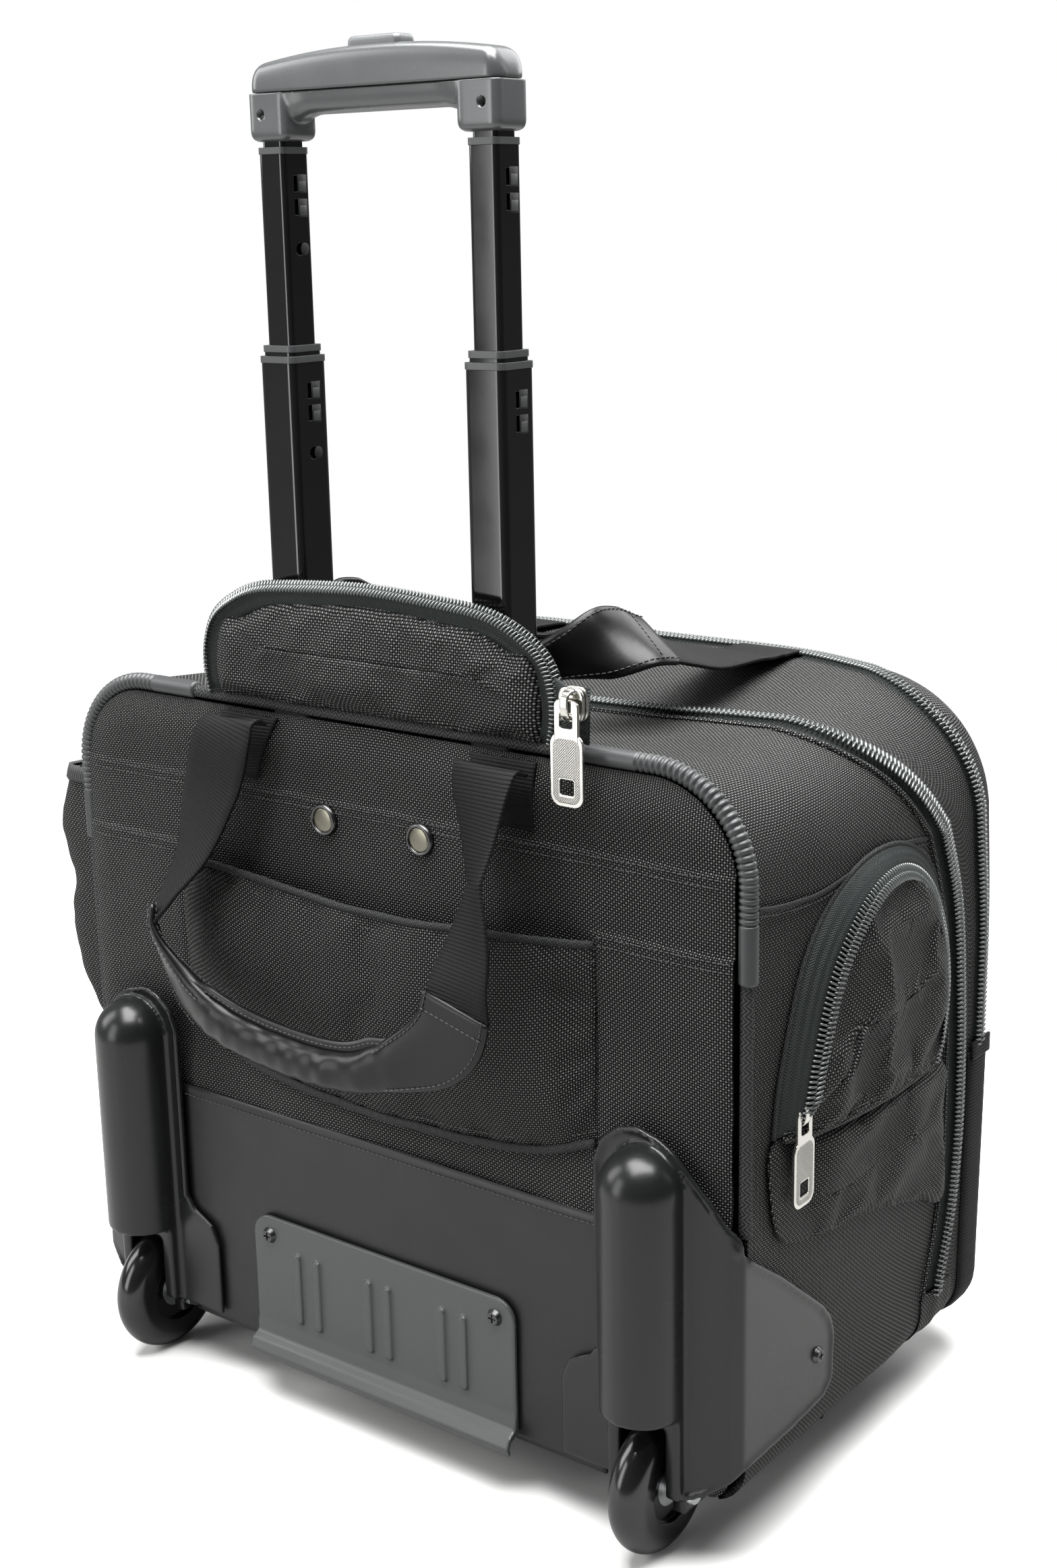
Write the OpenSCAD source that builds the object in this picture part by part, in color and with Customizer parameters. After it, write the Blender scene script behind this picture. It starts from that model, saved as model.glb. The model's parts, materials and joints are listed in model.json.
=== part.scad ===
// Rolling laptop case with a four-stage telescopic handle.
// X runs across the case, Y from the wheel side (-) to the front face (+), Z up from the floor.
// Depths are measured from the plane of the rear bottom panel and turned into Y by dep().

/* [Case] */
// Width of the fabric case over its sides
case_w = 431; // [425:1:435]
// Height of the case's top edge above the floor
case_top = 395; // [392:1:398]
// Height of the case's underside above the floor
case_bottom = 29; // [27:1:31]
// Depth from the rear bottom panel to the front face
case_d = 285; // [280:1:290]
// Radius of the case's top corners
top_r = 50; // [40:1:55]
// Radius of the case's bottom corners
bottom_r = 24; // [18:1:28]
// Radius of the edges round the front face
front_r = 30; // [20:1:34]
// Thickness of the padded fabric walls
wall = 3; // [2.5:0.1:3.2]

/* [Wheels] */
// Radius of a wheel
wheel_r = 36.5; // [36:0.5:38]
// Width of a wheel's tread
wheel_w = 20; // [18:0.5:21]
// Distance of each wheel's middle from the case's middle plane
wheel_x = 172; // [170:0.5:174]
// Radius of the axle bolts
axle_r = 4; // [3:0.25:4]

/* [Trolley handle] */
// Distance of each leg from the case's middle plane
leg_x = 65.4; // [62:0.1:68]
// Width of the widest sliding tube
tube_w = 23.1; // [22.6:0.1:23.2]
// Depth of the widest sliding tube
tube_d = 25.2; // [24.8:0.1:25.3]
// Height of the top of the widest tube above the floor
tube_a_top = 567; // [550:1:567]
// How far the third tube stands out of the second
stage_c_out = 91.2; // [85:0.1:92]
// Half the width of the grip
grip_half_w = 77.2; // [76:0.1:79]
// Height of the top of the grip's arch above the floor
grip_top = 714; // [713:0.5:715]

/* [Pockets, hood and handles] */
// How far the side pockets bulge out of the side panels
pocket_bulge = 17; // [14:0.5:18]
// Half the width of the hood over the grip
hood_half_w = 115; // [110:1:116]
// Height of the hood's top above the floor
hood_top = 461; // [458:1:464]
// Width of the carry handles' webbing
webbing_w = 40; // [36:1:42]
// Distance of each webbing strap from the middle plane at its anchor
strap_x = 81; // [78:1:84]
// Furthest reach of the rear carry handle behind the rear panel
rear_reach = 45; // [44:0.5:46]
// How far the front carry handle's straps stand out in front of the front face
front_reach = 8; // [6:0.5:10]

/* [Hidden] */
$fn = 48;

half_w = case_w / 2;
rear_y = -(case_d + front_reach - rear_reach) / 2;  // Y = 0 is the middle of the whole depth
function dep(d) = rear_y + d;
leg_dep = 36;                             // depth of the legs' middle

// Telescopic stages, each inside the one before: width, depth, wall
tube_wall = 1.2;
stage_gap = 0.2;
function corner(s) = 0.16 * s[0];            // radius of a tube's long edges
size_a = [tube_w, tube_d];
function inner(s) = [s[0] - 2 * tube_wall, s[1] - 2 * tube_wall];
size_b = [inner(size_a)[0] - 2 * stage_gap, inner(size_a)[1] - 2 * stage_gap];
size_c = [inner(size_b)[0] - 0.9, inner(size_b)[1] - 1.6];
size_d = [inner(size_c)[0] - 2 * stage_gap, inner(size_c)[1] - 3 * stage_gap];
collar_h = 3.2;
collar_lip = 0.4;
step_up = 2;                              // bare tube between one collar and the next
b_top = tube_a_top + collar_h + step_up;
c_top = b_top + collar_h + stage_c_out;
grip_bottom = c_top + collar_h + 2.6;
sleeve_bottom = 46;
sleeve_top = 393;
glide_h = 10;
a_bottom = tube_a_top - 341;
b_bottom = a_bottom + 11;
c_bottom = b_bottom + stage_c_out + glide_h + 6;
d_bottom = c_bottom + glide_h + 2;

bar_bottom = 682.5;                       // underside of the grip's bar
grip_seam = 694.9;
grip_d = 24;
block_in = 55.5;                          // inner side of the grip's end blocks

axle_z = wheel_r;
axle_dep = 7;
run_gap = 0.05;
axle_end = wheel_w / 2 + 9.2;             // from a wheel's middle to each end of its axle's shank
hub_face = wheel_w / 2 - 3;

skid_screw_x = 78.2;
skid_screw_z = 98;
side_screw = [78.5, 86];                  // depth and height of the screw in each housing's side

flap_z = 200;                             // fold line of the front flap
front_zip_dep = 255;
hood_dep = [10, 20];
piping_dep = [11.5, 18.4];
hood_fold_z = 413;

// ---------- shared shapes ----------

// A flat outline in X and Z, thickened between two depths
module slab(d0, d1) {
    translate([0, dep(d1), 0]) rotate([90, 0, 0]) linear_extrude(d1 - d0) children();
}

// A flat outline in depth and Z, thickened between two places across the case
module across(x0, x1) {
    translate([x0, rear_y, 0]) rotate([90, 0, 90]) linear_extrude(x1 - x0) children();
}

// The case's outline seen from behind, moved outwards by grow
module case_outline(grow = 0) {
    w = half_w + grow;
    z0 = case_bottom - grow;
    z1 = case_top + grow;
    rt = top_r + grow;
    rb = bottom_r + grow;
    mid = 200;
    translate([-w, mid]) square([2 * w, z1 - rt - mid]);
    translate([-w + rt, mid]) square([2 * (w - rt), z1 - mid]);
    translate([-w, z0 + rb]) square([2 * w, mid - z0 - rb]);
    translate([-w + rb, z0]) square([2 * (w - rb), mid - z0]);
    for (s = [-1, 1]) {
        translate([s * (w - rt), z1 - rt]) circle(rt);
        translate([s * (w - rb), z0 + rb]) circle(rb);
    }
}

// The wall of the case between two outlines
module case_ring(outer, inner_grow) {
    difference() {
        case_outline(outer);
        case_outline(inner_grow);
    }
}

module rounded(x0, x1, z0, z1, r) {
    translate([x0 + r, z0]) square([x1 - x0 - 2 * r, z1 - z0]);
    translate([x0, z0 + r]) square([x1 - x0, z1 - z0 - 2 * r]);
    for (x = [x0 + r, x1 - r], z = [z0 + r, z1 - r]) translate([x, z]) circle(r);
}

module both_sides() {
    children();
    mirror([1, 0, 0]) children();
}

// The split between the rear section and the front section, as depth and Z down one side
main_split = [[139, 391], [150, 383], [170, 368], [194, 350], [210, 332], [219, 312], [226, 277],
              [232, 218], [234, 158], [228, 105], [220, 66]];
function shifted(path, d) = [for (p = path) [p[0] + d, p[1]]];
module rear_side() {
    polygon(concat([[18, 0], [18, 500], [139, 500]], main_split, [[206, 50], [206, 0]]));
}
module front_side() {
    polygon(concat([[front_zip_dep - 1, 500], [142, 500]], shifted(main_split, 3),
                   [[224, 50], [224, 0], [front_zip_dep - 1, 0]]));
}

// Room for both wheels and their wells
module well_room() {
    both_sides() translate([wheel_x - 27, dep(-60), 0]) cube([54, 114, 92]);
}

// ---------- fabric case, rear section ----------

module rear_panel() color("#232425") difference() {
    slab(10.5, 14.5) case_outline(-4);
    well_room();
}

module back_board() color("#1b1b1c") slab(54.5, 57) case_outline(-5.5);

module main_gusset() color("#2a2b2c") difference() {
    intersection() {
        slab(18.5, front_zip_dep - 1) case_ring(0, -wall);
        across(-300, 300) rear_side();
    }
    well_room();
    translate([-92, dep(18), case_top - 10]) cube([184, 37, 20]);
    translate([-300, dep(side_screw[0]), side_screw[1]]) rotate([0, 90, 0]) cylinder(r = 2.1, h = 600);
}

module bottom_board() color("#1b1b1c")
    translate([-185, dep(58), case_bottom + wall + 0.5]) cube([370, 142, 3]);

module padded_divider() color("#3a3c3e")
    slab(96, 104) rounded(-198, 198, case_bottom + wall + 4.5, 318, 14);

module vinyl_panel() color("#3b3d3c") difference() {
    slab(1.6, 3.6) rounded(-152, 152, 31, 170, 6);
    well_room();
    skid_screw_holes();
}

module rear_piping() color("#2f3133") difference() {
    slab(piping_dep[0], piping_dep[1]) case_ring(2, -3.2);
    both_sides() slab(0, 30) translate([124, 298]) square([150, 150]);
    well_room();
    both_sides() slab(0, 30) translate([140, 0]) square([90, 178]);
}

// Rubber sleeves over the piping at the top corners
module corner_protectors() color("#55585a") both_sides() intersection() {
    slab(piping_dep[0] - 1, piping_dep[1]) case_ring(3.6, -3.6);
    slab(0, 30) translate([125, 299]) square([150, 150]);
}

module patch_pocket() color("#262728") difference() {
    slab(-5, 10) union() {
        translate([-137, 212]) square([274, 92]);
        intersection() {
            translate([-137, 186]) square([274, 40]);
            translate([0, 186 + 396]) circle(396, $fn = 96);
        }
    }
    slab(-3.5, 8.5) translate([-134, 216]) square([268, 100]);
}

module snaps() color("#8c8f91") for (s = [-1, 1])
    translate([s * 32, dep(7.1), 340]) rotate([90, 0, 0]) {
        translate([0, 0, -2.9]) cylinder(r = 3, h = 3);
        cylinder(r = 8.5, h = 1.2);
        translate([0, 0, 1.2]) cylinder(r = 5.6, h = 1.6);
    }

// Zipped pocket bulging out of the right side panel
module side_pocket_right() color("#2a2b2c") hull() {
    translate([half_w + 0.3, dep(60.5), 180]) cube([1, 142, 150]);
    translate([half_w + 9, dep(74), 198]) cube([1, 114, 116]);
    translate([half_w + pocket_bulge - 1, dep(92), 214]) cube([1, 78, 78]);
}

// Open pocket on the left side panel, from the rear seam forward
module side_pocket_left() color("#2a2b2c") mirror([1, 0, 0]) hull() {
    translate([half_w + 0.3, dep(24), 228]) cube([1, 178, 108]);
    translate([half_w + 9, dep(25), 236]) cube([1, 150, 99]);
    translate([half_w + pocket_bulge - 1, dep(26), 250]) cube([1, 112, 84]);
}

// ---------- rear hardware ----------

module skid_screw_holes() for (s = [-1, 1])
    translate([s * skid_screw_x, dep(8), skid_screw_z]) rotate([90, 0, 0]) cylinder(r = 2.1, h = 15);

rib_x = [-57.6, -43.5, -6.7, 6.7, 43.5, 57.6];
module skid_plate() color("#55585a") difference() {
    union() {
        slab(-1.4, 1.5) rounded(-90.4, 90.4, 34, 109, 12);
        slab(-3.4, -1.4) for (x = rib_x) rounded(x - 2.6, x + 2.6, 50.5, 92.3, 2.59);
        across(-90.4, 90.4) polygon([[1.5, 46], [-1.4, 46], [-2.4, 38], [-7, 35], [-9.5, 30], [-7.5, 25.5],
                                     [-5.5, 26], [-7, 30], [-5, 33], [1.5, 35]]);
    }
    skid_screw_holes();
}

// Pan-head screw pointing along +Y, its head's underside at the origin
module screw(shank_r, shank_l, head_r, head_h) {
    rotate([90, 0, 0]) difference() {
        union() {
            translate([0, 0, -shank_l]) cylinder(r = shank_r, h = shank_l);
            cylinder(r1 = head_r, r2 = head_r * 0.72, h = head_h);
        }
        for (a = [0, 90]) rotate([0, 0, a])
            translate([-head_r * 0.5, -0.5, head_h - 1.1]) cube([head_r, 1, 2]);
    }
}

module skid_screws() color("#3c3d3f") for (s = [-1, 1])
    translate([s * skid_screw_x, dep(-1.4), skid_screw_z]) screw(2, 8, 4.6, 2.4);

flange = [[119.5, 36], [119.5, 80], [124, 90], [137, 97], [142, 105], [142, 203], [146, 214],
          [155, 221.5], [165, 224.5], [178, 221], [186, 216.3], [195, 206], [195, 38.5], [188, 36]];
side_flap = [[9, 57], [9, 169], [14, 165], [41, 145], [83, 111], [91, 101], [94, 93], [93, 66], [85, 60], [57, 58]];
well_bottom = 28;
bulge_r = 21;
bulge_dep = -7;
shell = 2.5;

module wheel_housing() difference() {
    union() {
        slab(-1.6, 1.2) polygon(flange);
        // corner turning from the rear flange to the side flap
        intersection() {
            linear_extrude(300) polygon([[195, dep(-1.6)], [214, dep(3)], [half_w + 3.4, dep(9)],
                                         [half_w + 0.4, dep(9)], [212, dep(5.4)], [195, dep(1.2)]]);
            slab(-5, 12) polygon([[194, 38.3], [194, 207], [204.5, 196], [221, 172], [221, 59], [217, 54], [205, 44]]);
        }
        across(half_w + 0.4, half_w + 3.4) polygon(side_flap);
        translate([wheel_x, dep(bulge_dep), 38]) cylinder(r = bulge_r, h = 159);
        translate([wheel_x, dep(bulge_dep), 197]) sphere(r = bulge_r);
        // well box inside the case
        translate([wheel_x - bulge_r, dep(-1.6), well_bottom]) cube([2 * bulge_r, 53, 61]);
    }
    // inside of the bulge and the wheel's room
    translate([wheel_x, dep(bulge_dep), 92]) cylinder(r = bulge_r - shell, h = 105);
    translate([wheel_x, dep(bulge_dep), 197]) sphere(r = bulge_r - shell);
    translate([wheel_x - 60, dep(1.2), 92]) cube([90, 60, 160]);
    translate([wheel_x - wheel_w / 2 - 3, dep(axle_dep), axle_z]) rotate([0, 90, 0])
        cylinder(r = wheel_r + 4.4, h = wheel_w + 6);
    translate([wheel_x - wheel_w / 2 - 3, dep(-60), -1]) cube([wheel_w + 6, 64.4 + axle_dep + wheel_r, axle_z + 1]);
    // the mouth under the bulge
    translate([wheel_x - 30, dep(-60), 20]) cube([57, 52, 62]);
    translate([wheel_x - 30, dep(-60), 20]) cube([80, 46, 34]);
    translate([wheel_x - 40, dep(axle_dep), axle_z]) rotate([0, 90, 0]) cylinder(r = axle_r + 0.1, h = 80);
    // seats of the axle's nut and head, and the side screw's hole
    translate([wheel_x - axle_end - 9, dep(axle_dep), axle_z]) rotate([0, 90, 0]) cylinder(r = 8, h = 9);
    translate([wheel_x + axle_end, dep(axle_dep), axle_z]) rotate([0, 90, 0]) cylinder(r = 7.4, h = 8);
    translate([half_w - 5, dep(side_screw[0]), side_screw[1]]) rotate([0, 90, 0]) cylinder(r = 2.1, h = 20);
}
module wheel_housing_right() color("#3a3b3c") wheel_housing();
module wheel_housing_left() color("#3a3b3c") mirror([1, 0, 0]) wheel_housing();

module housing_screws() color("#3c3d3f") both_sides()
    translate([half_w + 3.4, dep(side_screw[0]), side_screw[1]]) rotate([0, 0, 90]) screw(2, 8, 4.6, 2.2);

module axle_bolts() color("#b9bcbf") both_sides() translate([wheel_x, dep(axle_dep), axle_z]) rotate([0, 90, 0]) {
    translate([0, 0, -axle_end - 4.4]) cylinder(r = axle_r, h = 2 * axle_end + 4.4);
    translate([0, 0, axle_end]) cylinder(r1 = 6.6, r2 = 5.4, h = 3);
}
module axle_nuts() color("#9a9da0") both_sides() translate([wheel_x - axle_end, dep(axle_dep), axle_z])
    rotate([0, -90, 0]) difference() {
        cylinder(r = 7.2, h = 4.2, $fn = 6);
        translate([0, 0, -1]) cylinder(r = axle_r, h = 7);
    }
module axle_spacers() color("#9a9da0") both_sides() for (s = [-1, 1])
    translate([wheel_x + s * (hub_face + 3), dep(axle_dep), axle_z]) rotate([0, 90, 0]) difference() {
        cylinder(r = 6, h = 5.8, center = true);
        cylinder(r = axle_r, h = 8, center = true);
    }

// Wheel: rounded tyre with a recessed hub on each side
module tyre() rotate([0, 90, 0]) rotate_extrude($fn = 72) difference() {
    union() {
        translate([11, -wheel_w / 2]) square([wheel_r - wheel_w / 2 - 11, wheel_w]);
        translate([wheel_r - wheel_w / 2, 0]) circle(r = wheel_w / 2);
    }
    translate([10.9, hub_face]) square([8, 4]);
    translate([10.9, -hub_face - 4]) square([8, 4]);
}
module bearings() rotate([0, 90, 0]) for (s = [-1, 1]) translate([0, 0, s * (hub_face - 3)]) difference() {
    cylinder(r = 11, h = 6, center = true);
    cylinder(r = axle_r + run_gap, h = 9, center = true);
}
module at_wheel(side) translate([side * wheel_x, dep(axle_dep), axle_z]) children();
module wheel_tyre_left() color("#161718") at_wheel(-1) tyre();
module wheel_tyre_right() color("#161718") at_wheel(1) tyre();
module wheel_bearings_left() color("#a7aaad") at_wheel(-1) bearings();
module wheel_bearings_right() color("#a7aaad") at_wheel(1) bearings();

// Feet under the case, in front of the wheels
foot_dep = 188;
module rear_feet() color("#242526") both_sides() translate([150, dep(foot_dep), 0])
    cylinder(r1 = 9, r2 = 12, h = case_bottom);

// ---------- trolley ----------

module leg_box(s, z0, z1) translate([0, dep(leg_dep), z0]) linear_extrude(z1 - z0)
    rounded(-s[0] / 2, s[0] / 2, -s[1] / 2, s[1] / 2, corner(s));
module legs() for (s = [-1, 1]) translate([s * leg_x, 0, 0]) children();
module tube(s, z0, z1) difference() {
    leg_box(s, z0, z1);
    leg_box(inner(s), z0 - 1, z1 + 1);
}
sleeve_size = [size_a[0] + 2 * stage_gap + 3.2, size_a[1] + 2 * stage_gap + 3.2];

module trolley_sleeves() color("#6d7073") legs() difference() {
    leg_box(sleeve_size, sleeve_bottom, sleeve_top);
    leg_box([size_a[0] + 2 * stage_gap, size_a[1] + 2 * stage_gap], sleeve_bottom - 1, sleeve_top + 1);
}
module trolley_base() color("#1c1d1e")
    translate([-88, dep(20), case_bottom + wall + 0.6]) cube([176, 33, sleeve_bottom - case_bottom - wall - 0.6]);
module trolley_bezel() color("#1c1d1e") difference() {
    translate([-91, dep(19), sleeve_top]) cube([182, 35, 3.2]);
    legs() leg_box([size_a[0] + 0.6, size_a[1] + 0.6], sleeve_top - 1, sleeve_top + 5);
}

// Lock windows and the pin hole below a collar, on the sides that face +X
window = [5, 7.5];
module lock_holes(s, z_top, with_hole) {
    for (z = [14, 25]) translate([s[0] / 2 - 2, dep(leg_dep) - window[0] / 2, z_top - z - window[1] / 2])
        cube([4, window[0], window[1]]);
    if (with_hole) translate([s[0] / 2 - 2, dep(leg_dep), z_top - 45]) rotate([0, 90, 0]) cylinder(r = 3, h = 4);
}
module stage(s, z0, z1) for (side = [-1, 1]) translate([side * leg_x, 0, 0]) difference() {
    tube(s, z0, z1);
    lock_holes(s, z1, side < 0);
}
module collar(s, next, z) legs() difference() {
    leg_box([s[0] + 2 * collar_lip, s[1] + 2 * collar_lip], z, z + collar_h);
    leg_box([next[0] + 2 * stage_gap, next[1] + 2 * stage_gap], z - 1, z + collar_h + 1);
}
module glide(outer, z) legs() leg_box([outer[0] - 2 * stage_gap, outer[1] - 2 * stage_gap], z - glide_h, z);

sleeve_bore = [size_a[0] + 2 * stage_gap, size_a[1] + 2 * stage_gap];
module tubes_a() color("#0e0f10") stage(size_a, a_bottom, tube_a_top);
module collars_a() color("#5d6062") collar(size_a, size_b, tube_a_top);
module glides_a() color("#2b2c2d") glide([sleeve_bore[0] + 0.2, sleeve_bore[1] + 0.2], a_bottom);
module tubes_b() color("#0e0f10") stage(size_b, b_bottom, b_top);
module collars_b() color("#5d6062") collar(size_b, size_c, b_top);
module glides_b() color("#2b2c2d") glide(inner(size_a), b_bottom);
module tubes_c() color("#0e0f10") stage(size_c, c_bottom, c_top);
module collars_c() color("#5d6062") collar(size_c, size_d, c_top);
module glides_c() color("#2b2c2d") glide(inner(size_b), c_bottom);
module tubes_d() color("#0e0f10") legs() tube(size_d, d_bottom, grip_bottom + 12);
module glides_d() color("#2b2c2d") glide(inner(size_c), d_bottom);

// ---------- grip ----------

// The grip's block as its end view and its top view leave it: flat sides with rounded edges
module grip_block() intersection() {
    across(-100, 100) translate([leg_dep, 0]) rounded(-grip_d / 2, grip_d / 2, grip_bottom, grip_top, 8);
    translate([0, dep(leg_dep), 0]) linear_extrude(800)
        rounded(-grip_half_w, grip_half_w, -grip_d / 2, grip_d / 2, 9);
}
button = [32, 14];
bar_room = [leg_x + 3.5, 5];

module grip_cavity() {
    translate([-bar_room[0], dep(leg_dep) - bar_room[1], 686]) cube([2 * bar_room[0], 2 * bar_room[1], 18]);
    translate([-button[0] / 2 - 0.2, dep(leg_dep) - button[1] / 2 - 0.2, 690])
        cube([button[0] + 0.4, button[1] + 0.4, 40]);
}
module grip_lower() color("#4a4c4e") difference() {
    intersection() {
        slab(0, 80) union() {
            translate([-grip_half_w, bar_bottom]) square([2 * grip_half_w, grip_seam - bar_bottom]);
            for (s = [-1, 1]) translate([s * (grip_half_w + block_in) / 2, (grip_bottom + 690) / 2])
                square([grip_half_w - block_in, 690 - grip_bottom], center = true);
        }
        grip_block();
    }
    grip_cavity();
    legs() leg_box(size_d, grip_bottom - 1, grip_bottom + 12);
    legs() leg_box([7, 7], grip_bottom, 695);
    legs() translate([-2.5, dep(leg_dep) - grip_d / 2 + 4, 683]) rotate([90, 0, 0]) cylinder(r = 1.8, h = 6);
}
arch_r = (70 * 70 + 5 * 5) / (2 * 5);
module grip_upper() color("#4a4c4e") difference() {
    intersection() {
        slab(0, 80) intersection() {
            rounded(-grip_half_w, grip_half_w, grip_seam - 30, grip_top, 20);
            translate([-100, grip_seam]) square([200, 60]);
            translate([0, grip_top - arch_r]) circle(arch_r, $fn = 360);
        }
        grip_block();
    }
    grip_cavity();
}
module grip_screws() color("#2a2b2c") legs() translate([-2.5, dep(leg_dep) - grip_d / 2 + 2, 683])
    rotate([90, 0, 0]) translate([0, 0, -1.9]) cylinder(r = 1.8, h = 2.4);
module button_cap() color("#55585a") hull() for (x = [-1, 1], y = [-1, 1], z = [706, 715])
    translate([x * (button[0] / 2 - 3), dep(leg_dep) + y * (button[1] / 2 - 3), z]) sphere(r = 3, $fn = 20);
module release_bar() color("#2b2c2d") {
    translate([-leg_x - 3, dep(leg_dep) - 4, 697]) cube([2 * leg_x + 6, 8, 6]);
    legs() translate([0, dep(leg_dep), d_bottom + 6]) cylinder(r = 2, h = 697 - d_bottom - 6);
}

// ---------- hood, handles and pullers ----------

module hood_outline() intersection() {
    rounded(-hood_half_w, hood_half_w, hood_top - 90, hood_top, 37);
    translate([-200, hood_fold_z + 1]) square([400, 100]);
}
module hood() color("#2a2b2c") slab(hood_dep[0], hood_dep[1]) hood_outline();
module hood_base() color("#2a2b2c") {
    slab(11.5, 18.5) translate([-hood_half_w + 2, case_top + 3.8])
        square([2 * hood_half_w - 4, hood_fold_z - case_top - 4.3]);
    // zip end tab beside the hood, which carries the slider
    slab(9.3, 14) rounded(hood_half_w - 5, hood_half_w + 18, 402.5, hood_fold_z - 0.6, 2);
    slab(9.3, 11.4) rounded(hood_half_w + 1.6, hood_half_w + 18, 402.5, 429, 4);
}

// A flat strap between two points, lying across X
module strap_piece(a, b, w) hull() {
    translate([a[0], dep(a[1]), a[2]]) cube([w, 2.4, 2], center = true);
    translate([b[0], dep(b[1]), b[2]]) cube([w, 2.4, 2], center = true);
}
left_strap = [[-strap_x, -7, 382], [-122, -14, 330], [-128, -20, 292]];
right_strap = [[strap_x, -7, 382], [84, -14, 330], [92, -24, 296]];
module rear_handle_webbing() color("#222324") for (path = [left_strap, right_strap])
    for (i = [0 : 1]) strap_piece(path[i], path[i + 1], webbing_w - 4);

grip_path = [[-124, -26, 280], [-88, -32, 234], [20, -35, 224], [62, -34, 236], [90, -31, 278]];
module rear_handle_grip() color("#1c1d1e") intersection() {
    for (i = [0 : 3]) hull() for (p = [grip_path[i], grip_path[i + 1]])
        translate([p[0], dep(p[1]), p[2]]) sphere(r = 10, $fn = 16);
    slab(-rear_reach, 0) translate([-200, 150]) square([400, 200]);
}

module front_handle() color("#222324") {
    for (s = [-1, 1]) {
        strap_piece([s * strap_x, case_d + front_reach - 1.2, 397], [s * strap_x, 240, 400], webbing_w - 4);
        strap_piece([s * strap_x, 240, 400], [s * strap_x, 101, 412], webbing_w - 4);
    }
    translate([-105, dep(62), 411]) cube([210, 32, 22]);
}

// Zip slider with a bail, and its puller hanging from the bail.  The bail's pin lies along X.
pull_w = 18;
pull_l = 47;
module slider_body() {
    translate([-6, -1, -7]) cube([12, 5, 14]);
    for (s = [-1, 1]) translate([s * 4 - 1, -5, -2]) cube([2, 4.01, 4]);
    translate([-5, -4, 0]) rotate([0, 90, 0]) cylinder(r = 1, h = 10);
}
module puller() difference() {
    union() {
        translate([-pull_w / 2, -5, -pull_l]) cube([pull_w, 2, pull_l - 10]);
        translate([-2.6, -5, -11]) cube([5.2, 2, 10.4]);
        translate([-2.6, -4, 0]) rotate([0, 90, 0]) cylinder(r = 2.2, h = 5.2);
    }
    translate([-4, -10, -pull_l + 5]) cube([8, 10, 9]);
    translate([-4, -4, 0]) rotate([0, 90, 0]) cylinder(r = 1 + run_gap, h = 8);
}
hood_slide_at = [hood_half_w + 12, 5.2, 420];
side_slide_at = [half_w + 4.2, 53, 226];
main_slide_at = [half_w + 7, 224, 286];
front_slide_at = [half_w + 6, front_zip_dep - 0.5, 262];
module at_hood_slider() translate([hood_slide_at[0], dep(hood_slide_at[1]), hood_slide_at[2]]) children();
module at_side_slider() translate([side_slide_at[0], dep(side_slide_at[1]), side_slide_at[2]])
    rotate([0, 0, 90]) children();
module at_left_slider(p) translate([-p[0], dep(p[1]), p[2]]) rotate([0, 0, -90]) children();
module zip_sliders() color("#c9cbcc") {
    at_hood_slider() slider_body();
    at_side_slider() slider_body();
    at_left_slider(main_slide_at) slider_body();
}
module front_zip_slider() color("#c9cbcc") at_left_slider(front_slide_at) slider_body();
module hood_puller() color("#c9cbcc") at_hood_slider() puller();
module side_puller() color("#c9cbcc") at_side_slider() puller();
module main_puller() color("#c9cbcc") at_left_slider(main_slide_at) puller();
module front_puller() color("#c9cbcc") at_left_slider(front_slide_at) puller();

// ---------- front section ----------

module front_gusset() color("#2a2b2c") intersection() {
    slab(130, front_zip_dep - 1) case_ring(0, -wall);
    across(-300, 300) front_side();
}
module front_divider() color("#242526") slab(248, 250.5) intersection() {
    case_outline(-wall - 0.2);
    translate([-300, 60]) square([600, 500]);
}
// The space inside the front pocket's shell, with every edge round the front face rounded
module front_form(inset, d0) intersection() {
    slab(d0, case_d - inset) case_outline(-inset);
    across(-300, 300) rounded(150, case_d - inset, case_bottom + inset, case_top - inset, front_r - inset);
    translate([0, rear_y, 0]) linear_extrude(500)
        rounded(-half_w + inset, half_w - inset, 150, case_d - inset, front_r - inset);
}
module front_shell(z0, z1) difference() {
    intersection() {
        front_form(0.5, front_zip_dep);
        translate([-300, -300, z0]) cube([600, 600, z1 - z0]);
    }
    front_form(wall + 0.5, front_zip_dep - 1);
}
module front_lower_panel() color("#2a2b2c") front_shell(0, flap_z - 0.6);
module front_flap() color("#2a2b2c") front_shell(flap_z, 500);

rear_panel();
back_board();
main_gusset();
bottom_board();
padded_divider();
vinyl_panel();
rear_piping();
corner_protectors();
patch_pocket();
snaps();
side_pocket_left();
side_pocket_right();
skid_plate();
skid_screws();
wheel_housing_left();
wheel_housing_right();
housing_screws();
axle_bolts();
axle_nuts();
axle_spacers();
rear_feet();
trolley_base();
trolley_sleeves();
trolley_bezel();
hood_base();
zip_sliders();
wheel_tyre_left();
wheel_bearings_left();
wheel_tyre_right();
wheel_bearings_right();
tubes_a();
collars_a();
glides_a();
tubes_b();
collars_b();
glides_b();
tubes_c();
collars_c();
glides_c();
tubes_d();
glides_d();
grip_lower();
grip_upper();
grip_screws();
button_cap();
release_bar();
hood();
rear_handle_webbing();
rear_handle_grip();
front_gusset();
front_divider();
front_lower_panel();
front_zip_slider();
front_flap();
front_handle();
hood_puller();
side_puller();
main_puller();
front_puller();
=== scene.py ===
import json
import math
from contextlib import contextmanager

import bmesh
import bpy
import numpy as np
from mathutils import Matrix, Vector

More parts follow.
